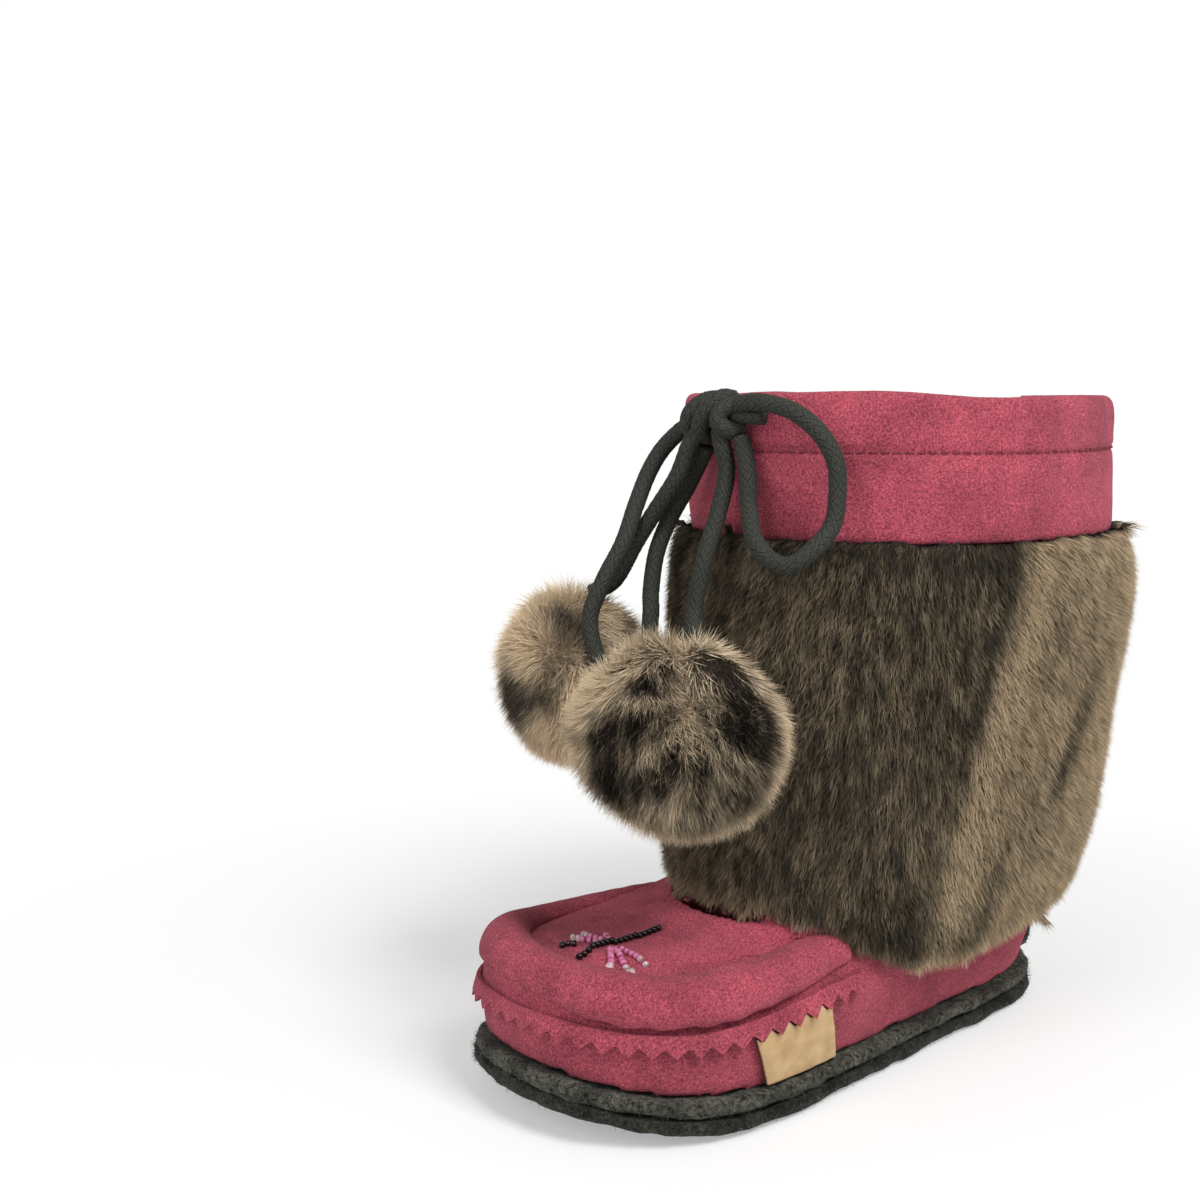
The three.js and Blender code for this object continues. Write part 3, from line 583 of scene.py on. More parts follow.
class MuklukColours(bpy.types.PropertyGroup):
    suede: bpy.props.FloatVectorProperty(
        name="Suede", description="Colour of the suede", subtype="COLOR", size=3,
        default=(0.47, 0.08, 0.118), min=0.0, max=1.0)
    fur_pale: bpy.props.FloatVectorProperty(
        name="Pale fur", description="Colour of the pale tips of the cuff's fur", subtype="COLOR", size=3,
        default=(0.58, 0.45, 0.29), min=0.0, max=1.0)
    cream: bpy.props.FloatVectorProperty(
        name="Cream fur", description="Colour of the pompoms' pale fur", subtype="COLOR", size=3,
        default=(0.75, 0.6, 0.41), min=0.0, max=1.0)


def sizes():
    return bpy.context.scene.mukluk_sizes


def colours():
    return bpy.context.scene.mukluk_colours


def suede_finish(name, gain=1.0):
    base = np.array(colours().suede) * gain
    return suede(name, tuple(base * 0.42), tuple(base), tuple(np.minimum(base * 1.6 + 0.03, 1)))


# Stage. Places are in metres, the camera's as solved from the photo.

CAMERA_PLACE = (0.34002, 0.30738, 0.19286)
CAMERA_TURN = (139.46, 7.33)
CAMERA_LENS = 46.5
SENSOR_WIDTH = 36
LOOKED_AT = (0, 0, 0.08)
# Each light: name, place, size and power.
LIGHTS = [("key", (0.1, 1.0, 1.3), 0.6, 20), ("front", (1.3, 0.2, 0.9), 0.8, 8)]
SKY_LIGHT = 0.42
FLOOR_REACH = 6.0


def aim(obj, target):
    obj.rotation_mode = "QUATERNION"
    obj.rotation_quaternion = (Vector(target) - obj.location).to_track_quat("-Z", "Y")


def make_camera():
    azimuth, elevation = (math.radians(turn) for turn in CAMERA_TURN)
    back = Vector((math.sin(azimuth) * math.cos(elevation), -math.cos(azimuth) * math.cos(elevation),
                   math.sin(elevation)))
    camera = bpy.data.objects.new("camera", bpy.data.cameras.new("camera"))
    bpy.context.scene.collection.objects.link(camera)
    camera.data.lens = CAMERA_LENS
    camera.data.sensor_width = SENSOR_WIDTH
    camera.location = CAMERA_PLACE
    camera.rotation_mode = "QUATERNION"
    camera.rotation_quaternion = (-back).to_track_quat("-Z", "Y")
    camera.data.clip_start = 0.01
    bpy.context.scene.camera = camera


def add_light(name, place, size, power):
    lamp = bpy.data.lights.new(name, "AREA")
    lamp.size = size
    lamp.energy = power
    light = bpy.data.objects.new(name, lamp)
    bpy.context.scene.collection.objects.link(light)
    light.location = place
    aim(light, LOOKED_AT)


class MUKLUK_OT_stage(bpy.types.Operator):
    """Camera, pale floor and soft studio light"""

    bl_idname = "mukluk.stage"
    bl_label = "Stage"

    def execute(self, context):
        make_camera()
        mesh = bpy.data.meshes.new("floor")
        corners = [(-1, -1), (1, -1), (1, 1), (-1, 1)]
        mesh.from_pydata([(x * FLOOR_REACH, y * FLOOR_REACH, 0) for x, y in corners], [], [(0, 1, 2, 3)])
        floor = new_piece("floor", mesh)
        floor.data.materials.append(floor_paper("floor paper"))
        world = bpy.data.worlds.new("studio")
        world.use_nodes = True
        tree = world.node_tree
        seen = add_node(tree, "ShaderNodeLightPath", {})
        extra = sum_of(tree, seen.outputs["Is Camera Ray"], 1 - SKY_LIGHT, "MULTIPLY")
        background = {"Color": (1.0, 1.0, 1.0, 1.0), "Strength": sum_of(tree, extra, SKY_LIGHT)}
        feed(tree, tree.nodes["Background"], background)
        context.scene.world = world
        for light in LIGHTS:
            add_light(*light)
        context.scene.view_settings.view_transform = "Standard"
        return {"FINISHED"}


# Drawcord. The routes follow the part's own, in millimetres.

CORD_SIDES = 56
CORD_STEP = 0.00035
BRAID_YARNS = 24
BRAID_PITCH = 0.015
BRAID_RELIEF = 0.0004
PATH_SHARE = 8
KNOT_RUN = [
    (26.2, -18.4, 187.6), (28.4, -13, 188.2), (30.6, -8, 188.6), (31, -3, 188.8), (30.8, 2.5, 188.8),
    (30.0, 7.5, 188.8), (28.6, 12.4, 188.6),
]
OUTER_LOOP = [
    (31.8, 3.2, 191.2), (32, 8, 192.2), (32, 15.6, 192.3), (30, 24.3, 190), (27.5, 31.2, 184.6),
    (25.5, 35, 177.7), (25, 35.9, 170.7), (26.5, 35.9, 160.6), (33, 35.2, 154.3), (37.5, 30.6, 149.6),
    (38.5, 23.8, 151.2), (37.5, 17.6, 156), (33, 11.3, 163.5), (32, 9.6, 173.4), (31.5, 6.5, 183),
]
INNER_LOOP = [
    (31.6, -9, 187.2), (32, -15, 185.5), (34, -22, 179.5), (37.5, -24.6, 172.4), (42.5, -24.6, 163),
    (48, -23.9, 152.5), (54, -25.7, 141.6), (58, -26.8, 130.8), (58, -22.5, 119), (53.5, -18, 113),
    (47.5, -15, 117.5), (43.5, -17, 131.9), (40, -20.8, 138), (36.5, -22.4, 148.7),
    (32.5, -21.3, 158.4), (29.5, -15.8, 169.6), (30, -8.5, 180),
]
END_TO_DARK = [
    (32.6, -1, 184.6), (33.5, 1, 181), (32.5, 2, 173), (35.5, 1.7, 161.6), (40.5, 1.5, 149.2),
    (43.5, 0.7, 134.5), (48.5, 6, 126.5),
]
END_TO_LIGHT = [
    (34.2, -6.4, 184.8), (36, -9, 181), (37.5, -12.8, 171.4), (39, -20.7, 160.8), (41, -26.3, 152),
    (44, -32, 141), (46.6, -39, 136.8),
]
KNOT_WRAPS = [
    [(28, -6, 183.4), (32.5, -6.8, 183.2), (36, -5.2, 186.2), (36.2, -2.2, 190.6), (33.4, 0.6, 193.6),
     (29, 1, 193.4)],
    [(28.2, -1.5, 193.2), (32.4, -6, 193), (35.4, -9.4, 189.6), (34.6, -11, 185.6), (31, -10.8, 183)],
    [(29.4, 4.6, 184.6), (33.6, 3.8, 184.8), (35.8, 1.8, 187.2), (34.8, 2.2, 190.4), (31.4, 4.8, 192.2)],
]


def smooth_route(points, step):
    """Evenly spaced points on a smooth curve through the given ones."""
    knots = np.array(points, float) * MM
    padded = np.vstack([2 * knots[0] - knots[1], knots, 2 * knots[-1] - knots[-2]])
    fine = []
    for i in range(1, len(padded) - 2):
        a, b, c, d = padded[i - 1 : i + 3]
        for share in np.linspace(0, 1, 30, endpoint=False):
            fine.append(0.5 * (2 * b + (c - a) * share + (2 * a - 5 * b + 4 * c - d) * share**2
                               + (3 * b - a - 3 * c + d) * share**3))
    fine.append(knots[-1])
    fine = np.array(fine)
    lengths = np.concatenate([[0], np.cumsum(np.linalg.norm(np.diff(fine, axis=0), axis=1))])
    count = max(8, int(lengths[-1] / step))
    places = np.linspace(0, lengths[-1], count + 1)
    return np.stack([np.interp(places, lengths, fine[:, i]) for i in range(3)], axis=1), lengths[-1]


def moving_frames(route):
    """Tangents and two directions across, carried along the route without twist."""
    tangents = np.gradient(route, axis=0)
    tangents /= np.linalg.norm(tangents, axis=1)[:, None]
    across = np.cross(tangents[0], [0.31, 0.2, 0.93])
    across /= np.linalg.norm(across)
    firsts = []
    for tangent in tangents:
        across = across - tangent * (across @ tangent)
        across /= np.linalg.norm(across)
        firsts.append(across)
    firsts = np.array(firsts)
    return tangents, firsts, np.cross(tangents, firsts)


def braid_height(angle, along):
    """How far the yarns of the braid stand out, from 0 in the gaps to 1 on their crests."""
    turn = along / BRAID_PITCH * 2 * math.pi
    first = np.cos(BRAID_YARNS / 2 * (angle + turn))
    second = np.cos(BRAID_YARNS / 2 * (angle - turn))
    weave = np.sin(BRAID_YARNS / 2 * angle) * np.sin(BRAID_YARNS / 2 * turn)
    over = smooth_step(weave, -0.25, 0.25)
    return over * np.abs(first) + (1 - over) * np.abs(second)


def cord_piece(name, points, finish):
    """A tube with the relief of a braid along a route. Returns the piece, its path and its length."""
    route, length = smooth_route(points, CORD_STEP)
    _, first, second = moving_frames(route)
    count = len(route)
    angles = np.linspace(0, 2 * math.pi, CORD_SIDES, endpoint=False)
    along = np.linspace(0, length, count)
    height = braid_height(angles[None, :], along[:, None])
    radius = CORD_DIAMETER / 2 - BRAID_RELIEF * (1 - height)
    cosines, sines = np.cos(angles)[None, :, None], np.sin(angles)[None, :, None]
    ring = first[:, None, :] * cosines + second[:, None, :] * sines
    surface = route[:, None, :] + ring * radius[:, :, None]
    verts = np.vstack([surface.reshape(-1, 3), route[0], route[-1]])
    last = (count - 1) * CORD_SIDES
    start, end = count * CORD_SIDES, count * CORD_SIDES + 1
    sides = [(j, (j + 1) % CORD_SIDES) for j in range(CORD_SIDES)]
    faces = [(low + j, low + k, low + CORD_SIDES + k, low + CORD_SIDES + j)
             for low in range(0, last, CORD_SIDES) for j, k in sides]
    for j, k in sides:
        faces.append((start, k, j))
        faces.append((end, last + j, last + k))
    mesh = bpy.data.meshes.new(name)
    mesh.from_pydata(verts.tolist(), [], faces)
    # The relief height is kept for the cloth's painted shade in the gaps and painted highlight on the
    # crests.
    give(mesh, "yarn_shade", np.concatenate([height.ravel(), [0.5, 0.5]]))
    mesh.materials.append(finish)
    piece = new_piece(name, mesh)
    shade_smooth(piece)
    path = route[::PATH_SHARE]
    if (count - 1) % PATH_SHARE:
        path = np.vstack([path, route[-1]])
    return piece, path, length


class MUKLUK_OT_drawcord(bpy.types.Operator):
    """Knot, two loops and two ends of the braided drawcord"""

    bl_idname = "mukluk.drawcord"
    bl_label = "Drawcord"

    def execute(self, context):
        # The deep and light colours are the braid's painted shade and painted highlight.
        finish = braid_cloth("braided cord", (0.004, 0.0045, 0.0035), (0.043, 0.045, 0.036))
        wraps = [cord_piece(f"knot_wrap_{i + 1}", points, finish)[0] for i, points in enumerate(KNOT_WRAPS)]
        run, path, length = cord_piece("bow_knot_cord", KNOT_RUN, finish)
        finish_piece(run, None, "bow_knot")
        for wrap in wraps:
            finish_piece(wrap, None)
        for node, points, far_end, with_pieces in (
            ("bow_loop_outer", OUTER_LOOP, "knot", []),
            ("bow_loop_inner", INNER_LOOP, "knot", []),
            ("cord_end_dark", END_TO_DARK, "fitting", ["pompom_dark_body", "pompom_dark_coat"]),
            ("cord_end_light", END_TO_LIGHT, "fitting", ["pompom_light_body", "pompom_light_coat"]),
        ):
            piece, path, length = cord_piece(node + "_cord", points, finish)
            finish_piece(piece, None, node)
        return {"FINISHED"}


# Pompoms


# In metres: how high the cleft starts above the middle, and half the depth, width and height.
POMPOM_CLEFT = 0.014
POMPOM_HALVES = (0.022, 0.028, 0.0265)
POMPOM_INSET = 0.0045
HAIR_OVERLAP = 0.0004
POMPOM_DENSITY = 7.5e6
DARK_FACING = math.radians(49.5)
LIGHT_FACING = math.radians(-32)


def ahead_and_across(points, facing):
    """How far each point lies ahead in a level direction, and across it."""
    ahead = points[:, 0] * math.cos(facing) + points[:, 1] * math.sin(facing)
    across = points[:, 1] * math.cos(facing) - points[:, 0] * math.sin(facing)
    return ahead, across


def spot(across, height, middle, reach):
    """A soft round spot, 1 in its middle."""
    return np.exp(-(((across - middle[0]) / reach[0]) ** 2) - (((height - middle[1]) / reach[1]) ** 2))


def pompom_tone_dark(offset):
    """Dark face with streaks that run out from the cleft at its top, pale crest and pale rim."""
    side = ahead_and_across(offset, DARK_FACING)[1]
    radius = np.hypot(side / POMPOM_HALVES[1], offset[:, 2] / POMPOM_HALVES[2])
    rim = smooth_step(radius, 0.84, 0.95)
    turn = np.arctan2(side, POMPOM_CLEFT - offset[:, 2])
    reach = np.hypot(side, POMPOM_CLEFT - offset[:, 2])
    rays = lumps(np.stack([turn / 0.28, reach / 0.016, side * 0], 1), 1.0, 5)
    fine = lumps(np.stack([turn / 0.13, reach / 0.01, side * 0], 1), 1.0, 6)
    crest = np.exp(-((reach / 0.011) ** 2))
    return np.clip(0.2 + 0.8 * rim + 0.6 * crest + 0.6 * rays + 0.5 * fine, 0, 1)


def pompom_tone_light(offset):
    """Cream with brown streaks and three dark patches, two of them on the side that the photo shows."""
    streaks = lumps(offset * np.array([1, 1, 0.6]), 0.008, 9)
    seen, across = ahead_and_across(offset, DARK_FACING)
    near = smooth_step(seen, 0, 0.008)
    low_patch = spot(across, offset[:, 2], (-0.015, -0.002), (0.007, 0.006))
    high_patch = spot(across, offset[:, 2], (-0.004, 0.018), (0.005, 0.004))
    side = ahead_and_across(offset, LIGHT_FACING)[1]
    patch = spot(side, offset[:, 2], (0.006, -0.006), (0.008, 0.011))
    dark = patch + near * (1.1 * low_patch + 0.9 * high_patch)
    return np.clip(0.9 - 0.9 * dark - 0.4 * smooth_step(streaks, 0.1, 0.6), 0, 1)


def pompom_ball(name, middle, facing, seed):
    """A slightly lumpy ball of the pompom's size, turned to its facing."""
    form = bmesh.new()
    bmesh.ops.create_icosphere(form, subdivisions=6, radius=1.0)
    ball = bpy.data.meshes.new(name)
    form.to_mesh(ball)
    form.free()
    points = coordinates(ball) * np.array(POMPOM_HALVES)
    points = points * (1 + 0.035 * lumps(points, 0.018, seed + 11))[:, None]
    ahead = points[:, 0] * math.cos(facing) - points[:, 1] * math.sin(facing)
    across = points[:, 0] * math.sin(facing) + points[:, 1] * math.cos(facing)
    move_points(ball, np.stack([ahead, across, points[:, 2]], 1) + middle)
    return new_piece(name, ball)


def make_pompom(shade, facing, tone, finish, seed):
    node = "pompom_" + shade
    low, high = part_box(node)
    middle = np.array((low + high) / 2)
    body = pompom_ball(node + "_body", middle, facing, seed)
    points = coordinates(body.data)
    normals = directions(body.data)
    offset = points - middle
    side = ahead_and_across(offset, facing)[1]
    cleft = np.exp(-((side / 0.0028) ** 2)) * smooth_step(offset[:, 2], 0.006, 0.02)
    depth = POMPOM_INSET * (1 + cleft)
    base = duplicate(body)
    move_points(body.data, points - normals * depth[:, None])
    move_points(base.data, points - normals * (depth - HAIR_OVERLAP)[:, None])
    comb = normals * 0.6 + three_lumps(points, 0.016, seed) * 0.6 + np.array([0, 0, -0.5])
    give(base.data, "comb", comb, "FLOAT_VECTOR")
    give(base.data, "tone", tone(offset))
    give(base.data, "pile", 1 + 0.12 * lumps(points, 0.012, seed + 7))
    finish_piece(body, finish, node)
    # Painted shade: the body under the hair shows the coat's root colour, the shade beneath the fur.
    give(body.data, "tone", np.full(len(points), 0.1))
    coat(node + "_coat", base,
         {"Density": POMPOM_DENSITY, "Length": sizes().pompom_hair_length, "Width": sizes().hair_width,
          "Spread": 0.22, "Finish": finish, "Seed": seed})


class MUKLUK_OT_pompoms(bpy.types.Operator):
    """The two fur pompoms on the ends of the cord"""

    bl_idname = "mukluk.pompoms"
    bl_label = "Pompoms"

    def execute(self, context):
        cream = tuple(colours().cream)
        dark = fur("pompom fur dark", (0.016, 0.011, 0.008), (0.014, 0.011, 0.008), cream, 1.3)
        pale = tuple(min(1.0, channel * 1.2) for channel in colours().cream)
        light = fur("pompom fur cream", (0.52, 0.42, 0.3), (0.03, 0.024, 0.018), pale, 0.5)
        make_pompom("dark", DARK_FACING, pompom_tone_dark, dark, 21)
        make_pompom("light", LIGHT_FACING, pompom_tone_light, light, 41)
        return {"FINISHED"}


# Fur cuff


def sleeve_place(points):
    """Outward direction, angle round the shaft and height share of each point of the sleeve."""
    across = points - np.array(SHAFT_MIDDLE)
    across[:, 2] = 0
    outward = across / np.linalg.norm(across, axis=1)[:, None]
    angle = np.degrees(np.arctan2(across[:, 1], across[:, 0]))
    height = (points[:, 2] - SLEEVE_BOTTOM) / (SLEEVE_TOP - SLEEVE_BOTTOM)
    return outward, angle, height


# Patches of the cuff: angle round the shaft, height share, how far each spreads, slant and strength.
CUFF_PATCHES = [
    (50, 0.1, 13, 0.06, 0, -0.6),
    (68, 0.17, 3, 0.13, 25, -0.6),
    (97, 0.5, 4, 0.17, 60, -0.55),
    (80, 0.4, 3, 0.06, 40, -0.35),
    (84, 0.75, 4, 0.07, 50, -0.25),
    (60, 0.97, 22, 0.05, 0, -0.5),
    (20, 0.97, 14, 0.05, 0, -0.45),
    (-25, 0.95, 12, 0.05, 0, -0.4),
    (8, 0.62, 7, 0.3, 0, 0.14),
    (-20, 0.5, 12, 0.4, 0, 0.12),
]


def cuff_tone(points, angle, height):
    """Mottled dark plush with a slanted pale stripe, paler behind it, and a pale lower rim."""
    streaks = lumps(points * np.array([1, 1, 0.5]), 0.0032, 3)
    clouds = lumps(points, 0.025, 4)
    stripe_angle = 45 + 29 * height
    stripe = 0.35 * np.exp(-(((angle - stripe_angle - 5) / 5.0) ** 2))
    beyond = 0.56 * smooth_step(angle - stripe_angle, -3, 4) * (1 - smooth_step(angle, 150, 175))
    patches = sum(
        strength * np.exp(-(((angle - place - slant * (height - level)) / wide) ** 2)
                          - (((height - level) / tall) ** 2))
        for place, level, wide, tall, slant, strength in CUFF_PATCHES)
    steps = np.arange(-175, 180, 10)
    lowest = np.array([points[np.abs(angle - step) <= 5, 2].min() for step in steps])
    edge = np.interp(angle, steps, lowest, period=360)
    rim = 0.4 * (1 - smooth_step(points[:, 2] - edge, 0.0025, 0.0075))
    inner = np.clip(0.19 + 0.14 * streaks + 0.1 * clouds + stripe + beyond + patches, 0, 1)
    return np.clip(inner + rim, 0, 1)


# The cuff's coat is made in sectors, between these angles round the shaft.
CUFF_SECTORS = (-180, -110, -40, 30, 100, 180.1)
CUFF_INSET = 0.003


class MUKLUK_OT_fur_cuff(bpy.types.Operator):
    """The deep fur sleeve round the shaft"""

    bl_idname = "mukluk.fur_cuff"
    bl_label = "Fur cuff"

    def execute(self, context):
        pale = tuple(colours().fur_pale)
        finish = fur("cuff fur", (0.035, 0.029, 0.021), (0.055, 0.046, 0.032), pale, 1.3)
        body = soft_form("fur_cuff", "fur_cuff_body", 0, 0.002, 30)
        points, normals = coordinates(body.data), directions(body.data)
        outward, angle, height = sleeve_place(points)
        facing = (normals * outward).sum(1)
        faces_out = smooth_step(facing, -0.1, 0.4)
        furry = facing > -0.3
        move_points(body.data, points - outward * (CUFF_INSET * faces_out)[:, None])
        # Painted shade: the body under the hair shows the coat's root colour, the shade beneath the fur.
        give(body.data, "tone", np.full(len(points), 0.1))
        whirl = three_lumps(points, 0.022, 60)
        tufts = three_lumps(points, 0.006, 70)
        up = smooth_step(height, 0.93, 0.98)[:, None] * 1.6
        comb = outward * 0.7 + np.array([0, 0, -0.85]) * (1 - up) + whirl * 0.22 + tufts * 0.18
        tone = cuff_tone(points, angle, height).astype(np.float32)
        pile = 1 + 0.08 * lumps(points, 0.015, 80)
        for part, (first, last) in enumerate(zip(CUFF_SECTORS, CUFF_SECTORS[1:])):
            keep = (angle >= first) & (angle < last) & furry
            base = duplicate(body)
            give(base.data, "comb", comb, "FLOAT_VECTOR")
            give(base.data, "pile", pile)
            base.data.attributes["tone"].data.foreach_set("value", tone)
            cut_faces(base.data, lambda face: not keep[face.verts[0].index])
            coat(f"fur_cuff_coat_{part + 1}", base,
                 {"Density": sizes().cuff_hair_density, "Length": sizes().cuff_hair_length,
                  "Width": sizes().hair_width, "Spread": 0.2, "Finish": finish, "Seed": 5 + part})
        finish_piece(body, finish, "fur_cuff")
        return {"FINISHED"}


# Felt


def foot_outward(points):
    """Level directions out of the foot: sideways along it, and all round its toe."""
    away = points[:, :2] - np.stack([np.minimum(points[:, 0], 0.045), np.full(len(points), -0.005)], 1)
    return away / np.linalg.norm(away, axis=1)[:, None]


# Where the two sole layers are pressed together: their height from, their height to, and how far out.
GROOVE_FILL = {"outsole": (0.0034, 0.0048, 0.0013), "midsole": (0.0074, 0.0058, 0.001)}
SPRING_START = 0.0451
SPRING_RUN = 0.0574
SPRING_RISE = 0.009
# The felt's bumps: how high, how wide and from which seed.
FELT_BUMPS = [(0.0004, 0.012, 1), (0.0004, 0.005, 2), (0.0002, 0.0025, 3)]
FUZZ = {"Density": 2.2e6, "Length": 0.0016, "Width": 0.0001, "Spread": 0.9}
FUZZ_LOWEST = 0.002


def sole_spring(x):
    """How far the sole is turned up at each place along it."""
    return SPRING_RISE * (np.maximum(0, x - SPRING_START) / SPRING_RUN) ** 2


def felt_piece(node, voxel, finish):
    piece = soft_form(node, node + "_felt", 1, voxel, 2)
    points = coordinates(piece.data)
    normals = directions(piece.data)
    bumps = sum(rise * lumps(points, size, seed) for rise, size, seed in FELT_BUMPS)
    level = points[:, 2] - sole_spring(points[:, 0])
    if node in GROOVE_FILL:
        low, high, reach = GROOVE_FILL[node]
        side = smooth_step((normals[:, :2] * foot_outward(points)).sum(1), 0.1, 0.6)
        bumps += reach * side * smooth_step(level, low, high)
    if node == "outsole":
        bumps *= smooth_step(points[:, 2], 0.0, 0.0015)
    move_points(piece.data, points + normals * bumps[:, None])
    return finish_piece(piece, finish, node)


def felt_fuzz(piece, node, finish, seed):
    """Short loose fibres that stand off a felt edge."""
    base = duplicate(piece)
    points, normals = coordinates(base.data), directions(base.data)
    give(base.data, "comb", normals * 0.35 + three_lumps(points, 0.004, seed), "FLOAT_VECTOR")
    give(base.data, "tone", np.full(len(points), 0.4))
    give(base.data, "pile", 1 + 0.3 * lumps(points, 0.01, seed))
    cut_faces(base.data, lambda face: abs(face.normal.z) > 0.6 or face.calc_center_median().z < FUZZ_LOWEST)
    coat(node + "_fuzz", base, {**FUZZ, "Finish": finish, "Seed": seed})


class MUKLUK_OT_felt(bpy.types.Operator):
    """Outsole, midsole, insole and heel tab"""

    bl_idname = "mukluk.felt"
    bl_label = "Felt"

    def execute(self, context):
        dark = felt("dark felt", (0.01, 0.01, 0.008), (0.05, 0.05, 0.04))
        pale = felt("grey felt", (0.014, 0.014, 0.01), (0.16, 0.16, 0.125))
        fibres = fur("felt fibres", (0.02, 0.02, 0.015), (0.05, 0.05, 0.04), (0.25, 0.25, 0.2), 1.2)
        edges = (("outsole", 0.0011, dark, 90), ("midsole", 0.0011, pale, 94),
                 ("heel_tab", 0.0009, pale, 98))
        for node, voxel, finish, seed in edges:
            felt_fuzz(felt_piece(node, voxel, finish), node, fibres, seed)
        felt_piece("insole", 0.002, pale)
        return {"FINISHED"}


# Suede. The trim's sizes are in metres.

TRIM_FLARE = 0.0016
TRIM_DROP = 0.0055
TRIM_SINK = 0.0003
TRIM_THICKNESS = 0.0022
TRIM_COLUMN = 0.004
TRIM_EDGE = 0.0002


def snug(piece, surface, reach, sink):
    """Draws a piece's points that are near a surface a little way into it."""
    points = coordinates(piece.data)
    for i, place in enumerate(points):
        found, normal, _, gap = surface.find_nearest(Vector(place), reach)
        if found is None:
            continue
        hold = float(smooth_step(np.array(reach - gap), 0.0, 0.6 * reach))
        points[i] = place + hold * (np.array(found) - sink * np.array(normal) - place)
    move_points(piece.data, points)


def flared_trim(finish):
    """The pinked strip with its crisp teeth, which stand off the foot a little."""
    piece = node_copy("pinked_trim", "pinked_trim_suede")
    points = coordinates(piece.data)
    surface = surface_of("upper_suede")
    skin = np.array([surface.find_nearest(Vector(place))[0] for place in points])
    gaps = np.linalg.norm(points - skin, axis=1)
    apart = np.linalg.norm(points[:, None] - points[None], axis=2)
    loose = np.where(apart < TRIM_THICKNESS, gaps[None], 1).min(axis=1) - TRIM_SINK
    points -= (points - skin) * (loose / np.maximum(gaps, 1e-5))[:, None]
    level = np.linalg.norm(points[:, None, :2] - points[None, :, :2], axis=2)
    top = np.where(level < TRIM_COLUMN, points[None, :, 2], -1).max(axis=1)
    drop = np.clip((top - points[:, 2]) / TRIM_DROP, 0, 1)
    flare = TRIM_FLARE * drop * (1 + 0.35 * lumps(points, 0.009, 14))
    points[:, :2] += foot_outward(points) * flare[:, None]
    move_points(piece.data, points)
    rounding = piece.modifiers.new("Edges", "BEVEL")
    rounding.width = TRIM_EDGE
    rounding.segments = 2
    rounding.limit_method = "ANGLE"
    settle(piece)
    finish_piece(piece, finish, "pinked_trim")
    piece.data.set_sharp_from_angle(angle=math.radians(40))


# Rows of beads on the apron: colour, start and end, in millimetres across the floor plan.
BEAD_ROWS = [
    ("black", (78, -1.9), (70.7, -2.6)), ("black", (70.5, -1.1), (62.6, -2)),
    ("black", (61.6, -1.1), (54.5, -1.1)),
    ("black", (83.9, -7.8), (81.5, -5.7)), ("black", (85.3, 1.2), (81.2, 0.2)),
    ("pink", (75.7, 2.7), (80.8, 8.8)), ("clear", (82, 10), (85, 13.1)),
    ("pink", (74.6, 3.6), (77.4, 10)), ("clear", (78.3, 12), (80, 16.2)),
    ("pink", (72.6, 4), (72.6, 9.6)), ("clear", (72.6, 11.2), (72.6, 13.4)),
    ("pink", (74.7, -4.7), (76.6, -8)), ("clear", (77.3, -9.2), (78.1, -10.4)),
    ("pink", (72.9, -4.6), (73.4, -8.4)), ("clear", (73.5, -9.9), (73.5, -11.2)),
    ("pink", (70.5, -3.9), (69.2, -6.6)),
]
# The pitch of the beads as a share of their diameter, and how high the rays that seat them start.
BEAD_PITCH = 0.8
RAY_HEIGHT = 0.08


class MUKLUK_OT_beads(bpy.types.Operator):
    """The strung rows of beads of the flower on the apron"""

    bl_idname = "mukluk.beads"
    bl_label = "Beads"

    def execute(self, context):
        surface = surface_of("apron_suede", "rolled_cuff_suede", "upper_suede")
        finishes = {
            "black": glass_bead("black beads", (0.004, 0.004, 0.004), (0.012, 0.01, 0.012), 0.0),
            "pink": glass_bead("pink beads", (0.6, 0.12, 0.3), (0.85, 0.3, 0.5), 0.25),
            "clear": glass_bead("clear beads", (0.85, 0.6, 0.65), (0.95, 0.85, 0.85), 0.6),
        }
        diameter = sizes().bead_diameter
        for shade, finish in finishes.items():
            rows = []
            for row_shade, start, end in BEAD_ROWS:
                if row_shade != shade:
                    continue
                row = []
                for share in np.linspace(0, 1, 6):
                    x, y = (np.array(start) * (1 - share) + np.array(end) * share) * MM
                    hit = surface.ray_cast(Vector((x, y, RAY_HEIGHT)), Vector((0, 0, -1)))[0]
                    row.append(hit + Vector((0, 0, 0.4 * diameter)))
                rows.append(row)
            item_rows("beads_" + shade, rows, "bead", BEAD_PITCH * diameter, diameter, finish)
        return {"FINISHED"}


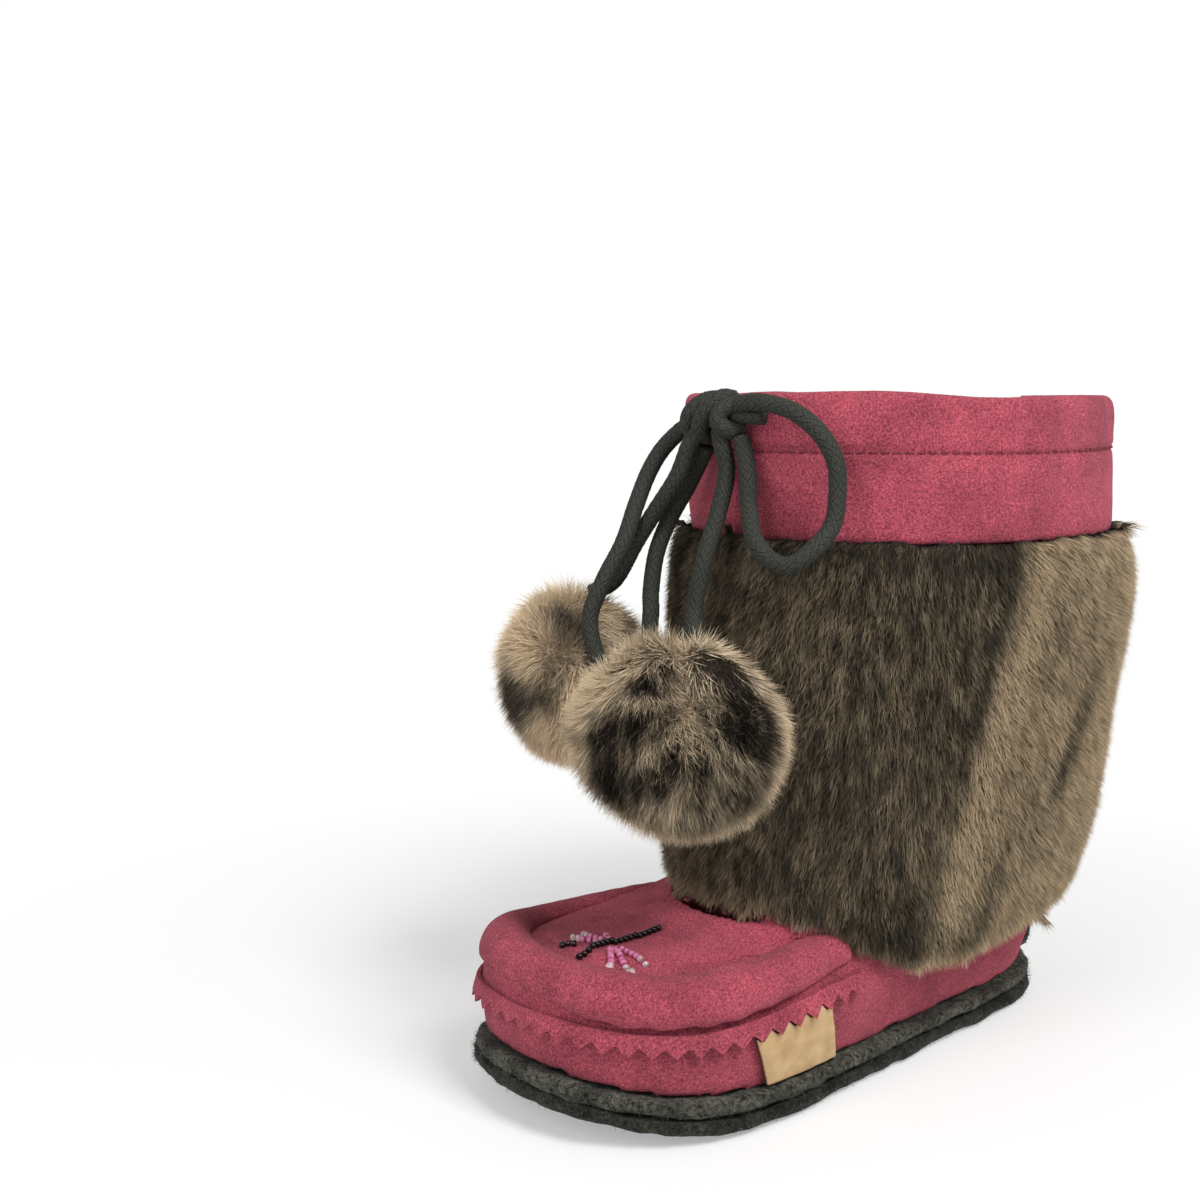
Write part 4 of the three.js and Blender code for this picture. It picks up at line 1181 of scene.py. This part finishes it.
class MUKLUK_OT_suede(bpy.types.Operator):
    """Upper, apron, gathered roll and pinked trim"""

    bl_idname = "mukluk.suede"
    bl_label = "Suede foot"

    def execute(self, context):
        # Painted light and shade: the apron's copy of the suede is lighter, painted light on its upward
        # face; the copy for the upper, roll and trim is darker, painted shade on the foot's sides.
        side = suede_finish("foot suede", 0.92)
        top = suede_finish("apron suede", 1.05)
        upper = soft_form("upper", "upper_suede", 1, 0.0016, 3)
        points = coordinates(upper.data)
        points[:, 2] -= 0.001 * (1 - smooth_step(points[:, 2], 0.012, 0.024))
        normals = directions(upper.data)
        crown = smooth_step(normals[:, 2], 0.25, 0.6) * smooth_step(points[:, 0], 0.0, 0.02)
        crown *= smooth_step(points[:, 2], 0.032, 0.038)
        points += normals * (0.0005 * lumps(points, 0.018, 15) + 0.0014 * crown)[:, None]
        move_points(upper.data, points)
        finish_piece(upper, side, "upper")
        upper.data.materials.append(fleece("fleece lining"))
        outward = sleeve_place(points)[0]
        inner = ((normals * outward).sum(1) < -0.2) & (points[:, 2] > 0.055)
        for face in upper.data.polygons:
            if inner[face.vertices[0]]:
                face.material_index = 1
        apron = soft_form("apron", "apron_suede", 0, 0.0007, 8)
        finish_piece(apron, top, "apron")
        roll = soft_form("rolled_cuff", "rolled_cuff_suede", 1, 0.0011, 12)
        points, normals = coordinates(roll.data), directions(roll.data)
        angle = np.arctan2(points[:, 1] + 0.005, points[:, 0] - 0.035)
        gathers = np.sin(angle * 30 + 5.0 * lumps(points, 0.02, 12))
        edge = 1 - smooth_step(points[:, 2], 0.031, 0.037)
        shift = 0.00028 * gathers * (0.25 + edge) + 0.0009 * lumps(points, 0.022, 13)
        shift += 0.0004 * lumps(points, 0.008, 16)
        move_points(roll.data, points + normals * shift[:, None])
        finish_piece(roll, side, "rolled_cuff")
        snug(apron, surface_of("rolled_cuff_suede"), 0.0026, 0.0004)
        flared_trim(side)
        return {"FINISHED"}


class MUKLUK_OT_collar(bpy.types.Operator):
    """The folded suede collar with its casing for the cord"""

    bl_idname = "mukluk.collar"
    bl_label = "Collar"

    def execute(self, context):
        collar = soft_form("collar", "collar_suede", 1, 0.001, 4)
        points, normals = coordinates(collar.data), directions(collar.data)
        outward, angle, _ = sleeve_place(points)
        high = smooth_step(points[:, 2], 0.16, 0.19)
        wave = lumps(np.stack([angle / 360, angle * 0, angle * 0], 1), 0.09, 31)
        seam = np.exp(-(((points[:, 2] - SEAM_HEIGHT) / 0.0012) ** 2))
        dimples = lumps(np.stack([angle * 0.0009, angle * 0, points[:, 2] * 0.6], 1), 0.006, 33)
        soft = 0.0013 * lumps(points, 0.02, 32) * smooth_step(points[:, 2], 0.155, 0.17)
        soft += 0.0005 * dimples * smooth_step(points[:, 2], 0.16, 0.175)
        facing = np.sign((normals * outward).sum(1))
        shift = outward * (soft - 0.0007 * seam * facing)[:, None]
        shift[:, 2] += 0.0014 * wave * high
        move_points(collar.data, points + shift)
        finish_piece(collar, suede_finish("collar suede"), "collar")
        surface = surface_of("collar_suede")
        seam_row = []
        for degrees in np.linspace(0, 360, 181):
            away = Vector((math.cos(math.radians(degrees)), math.sin(math.radians(degrees)), 0))
            start = SHAFT_MIDDLE + away * 0.12 + Vector((0, 0, SEAM_HEIGHT))
            seam_row.append(surface.ray_cast(start, -away)[0] + away * 0.0002)
        length = sizes().stitch_length
        item_rows("collar_stitches", [seam_row], "stitch", 1.25 * length, length,
                  suede_finish("collar thread", 0.55))
        return {"FINISHED"}


class MUKLUK_OT_label(bpy.types.Operator):
    """The bare leather label"""

    bl_idname = "mukluk.label"
    bl_label = "Label"

    def execute(self, context):
        label = soft_form("label", "label_leather", 0, 0.0004, 2)
        normals = directions(label.data)
        points = coordinates(label.data)
        facing = (normals[:, :2] * foot_outward(points)).sum(1)
        give(label.data, "edge_share", 1 - smooth_step(facing, 0.45, 0.85))
        finish = smooth_leather("tan leather", (0.42, 0.26, 0.11), (0.6, 0.41, 0.21), (0.07, 0.04, 0.02))
        finish_piece(label, finish, "label")
        return {"FINISHED"}


class MUKLUK_PT_panel(bpy.types.Panel):
    """Lists the boot's pieces in the sidebar"""

    bl_idname = "MUKLUK_PT_panel"
    bl_label = "Mukluk Boot"
    bl_space_type = "VIEW_3D"
    bl_region_type = "UI"
    bl_category = "Mukluk"

    def draw(self, context):
        for operator in OPERATORS:
            self.layout.operator(operator.bl_idname)
        for group in (context.scene.mukluk_sizes, context.scene.mukluk_colours):
            for name in group.__annotations__:
                self.layout.prop(group, name)


OPERATORS = (
    MUKLUK_OT_stage,
    MUKLUK_OT_fur_cuff,
    MUKLUK_OT_pompoms,
    MUKLUK_OT_drawcord,
    MUKLUK_OT_felt,
    MUKLUK_OT_suede,
    MUKLUK_OT_beads,
    MUKLUK_OT_collar,
    MUKLUK_OT_label,
)
CLASSES = (MuklukSizes, MuklukColours, *OPERATORS, MUKLUK_PT_panel)


def register():
    for item in CLASSES:
        bpy.utils.register_class(item)
    bpy.types.Scene.mukluk_sizes = bpy.props.PointerProperty(type=MuklukSizes)
    bpy.types.Scene.mukluk_colours = bpy.props.PointerProperty(type=MuklukColours)


def unregister():
    del bpy.types.Scene.mukluk_sizes
    del bpy.types.Scene.mukluk_colours
    for item in reversed(CLASSES):
        bpy.utils.unregister_class(item)


def main():
    register()
    hair_tree()
    row_tree()
    helpers = (strand_object(), bead_object(), stitch_object())
    for operator in OPERATORS:
        group, name = operator.bl_idname.split(".")
        getattr(getattr(bpy.ops, group), name)()
    for helper in helpers:
        bpy.data.objects.remove(helper)


if __name__ == "__main__":
    main()
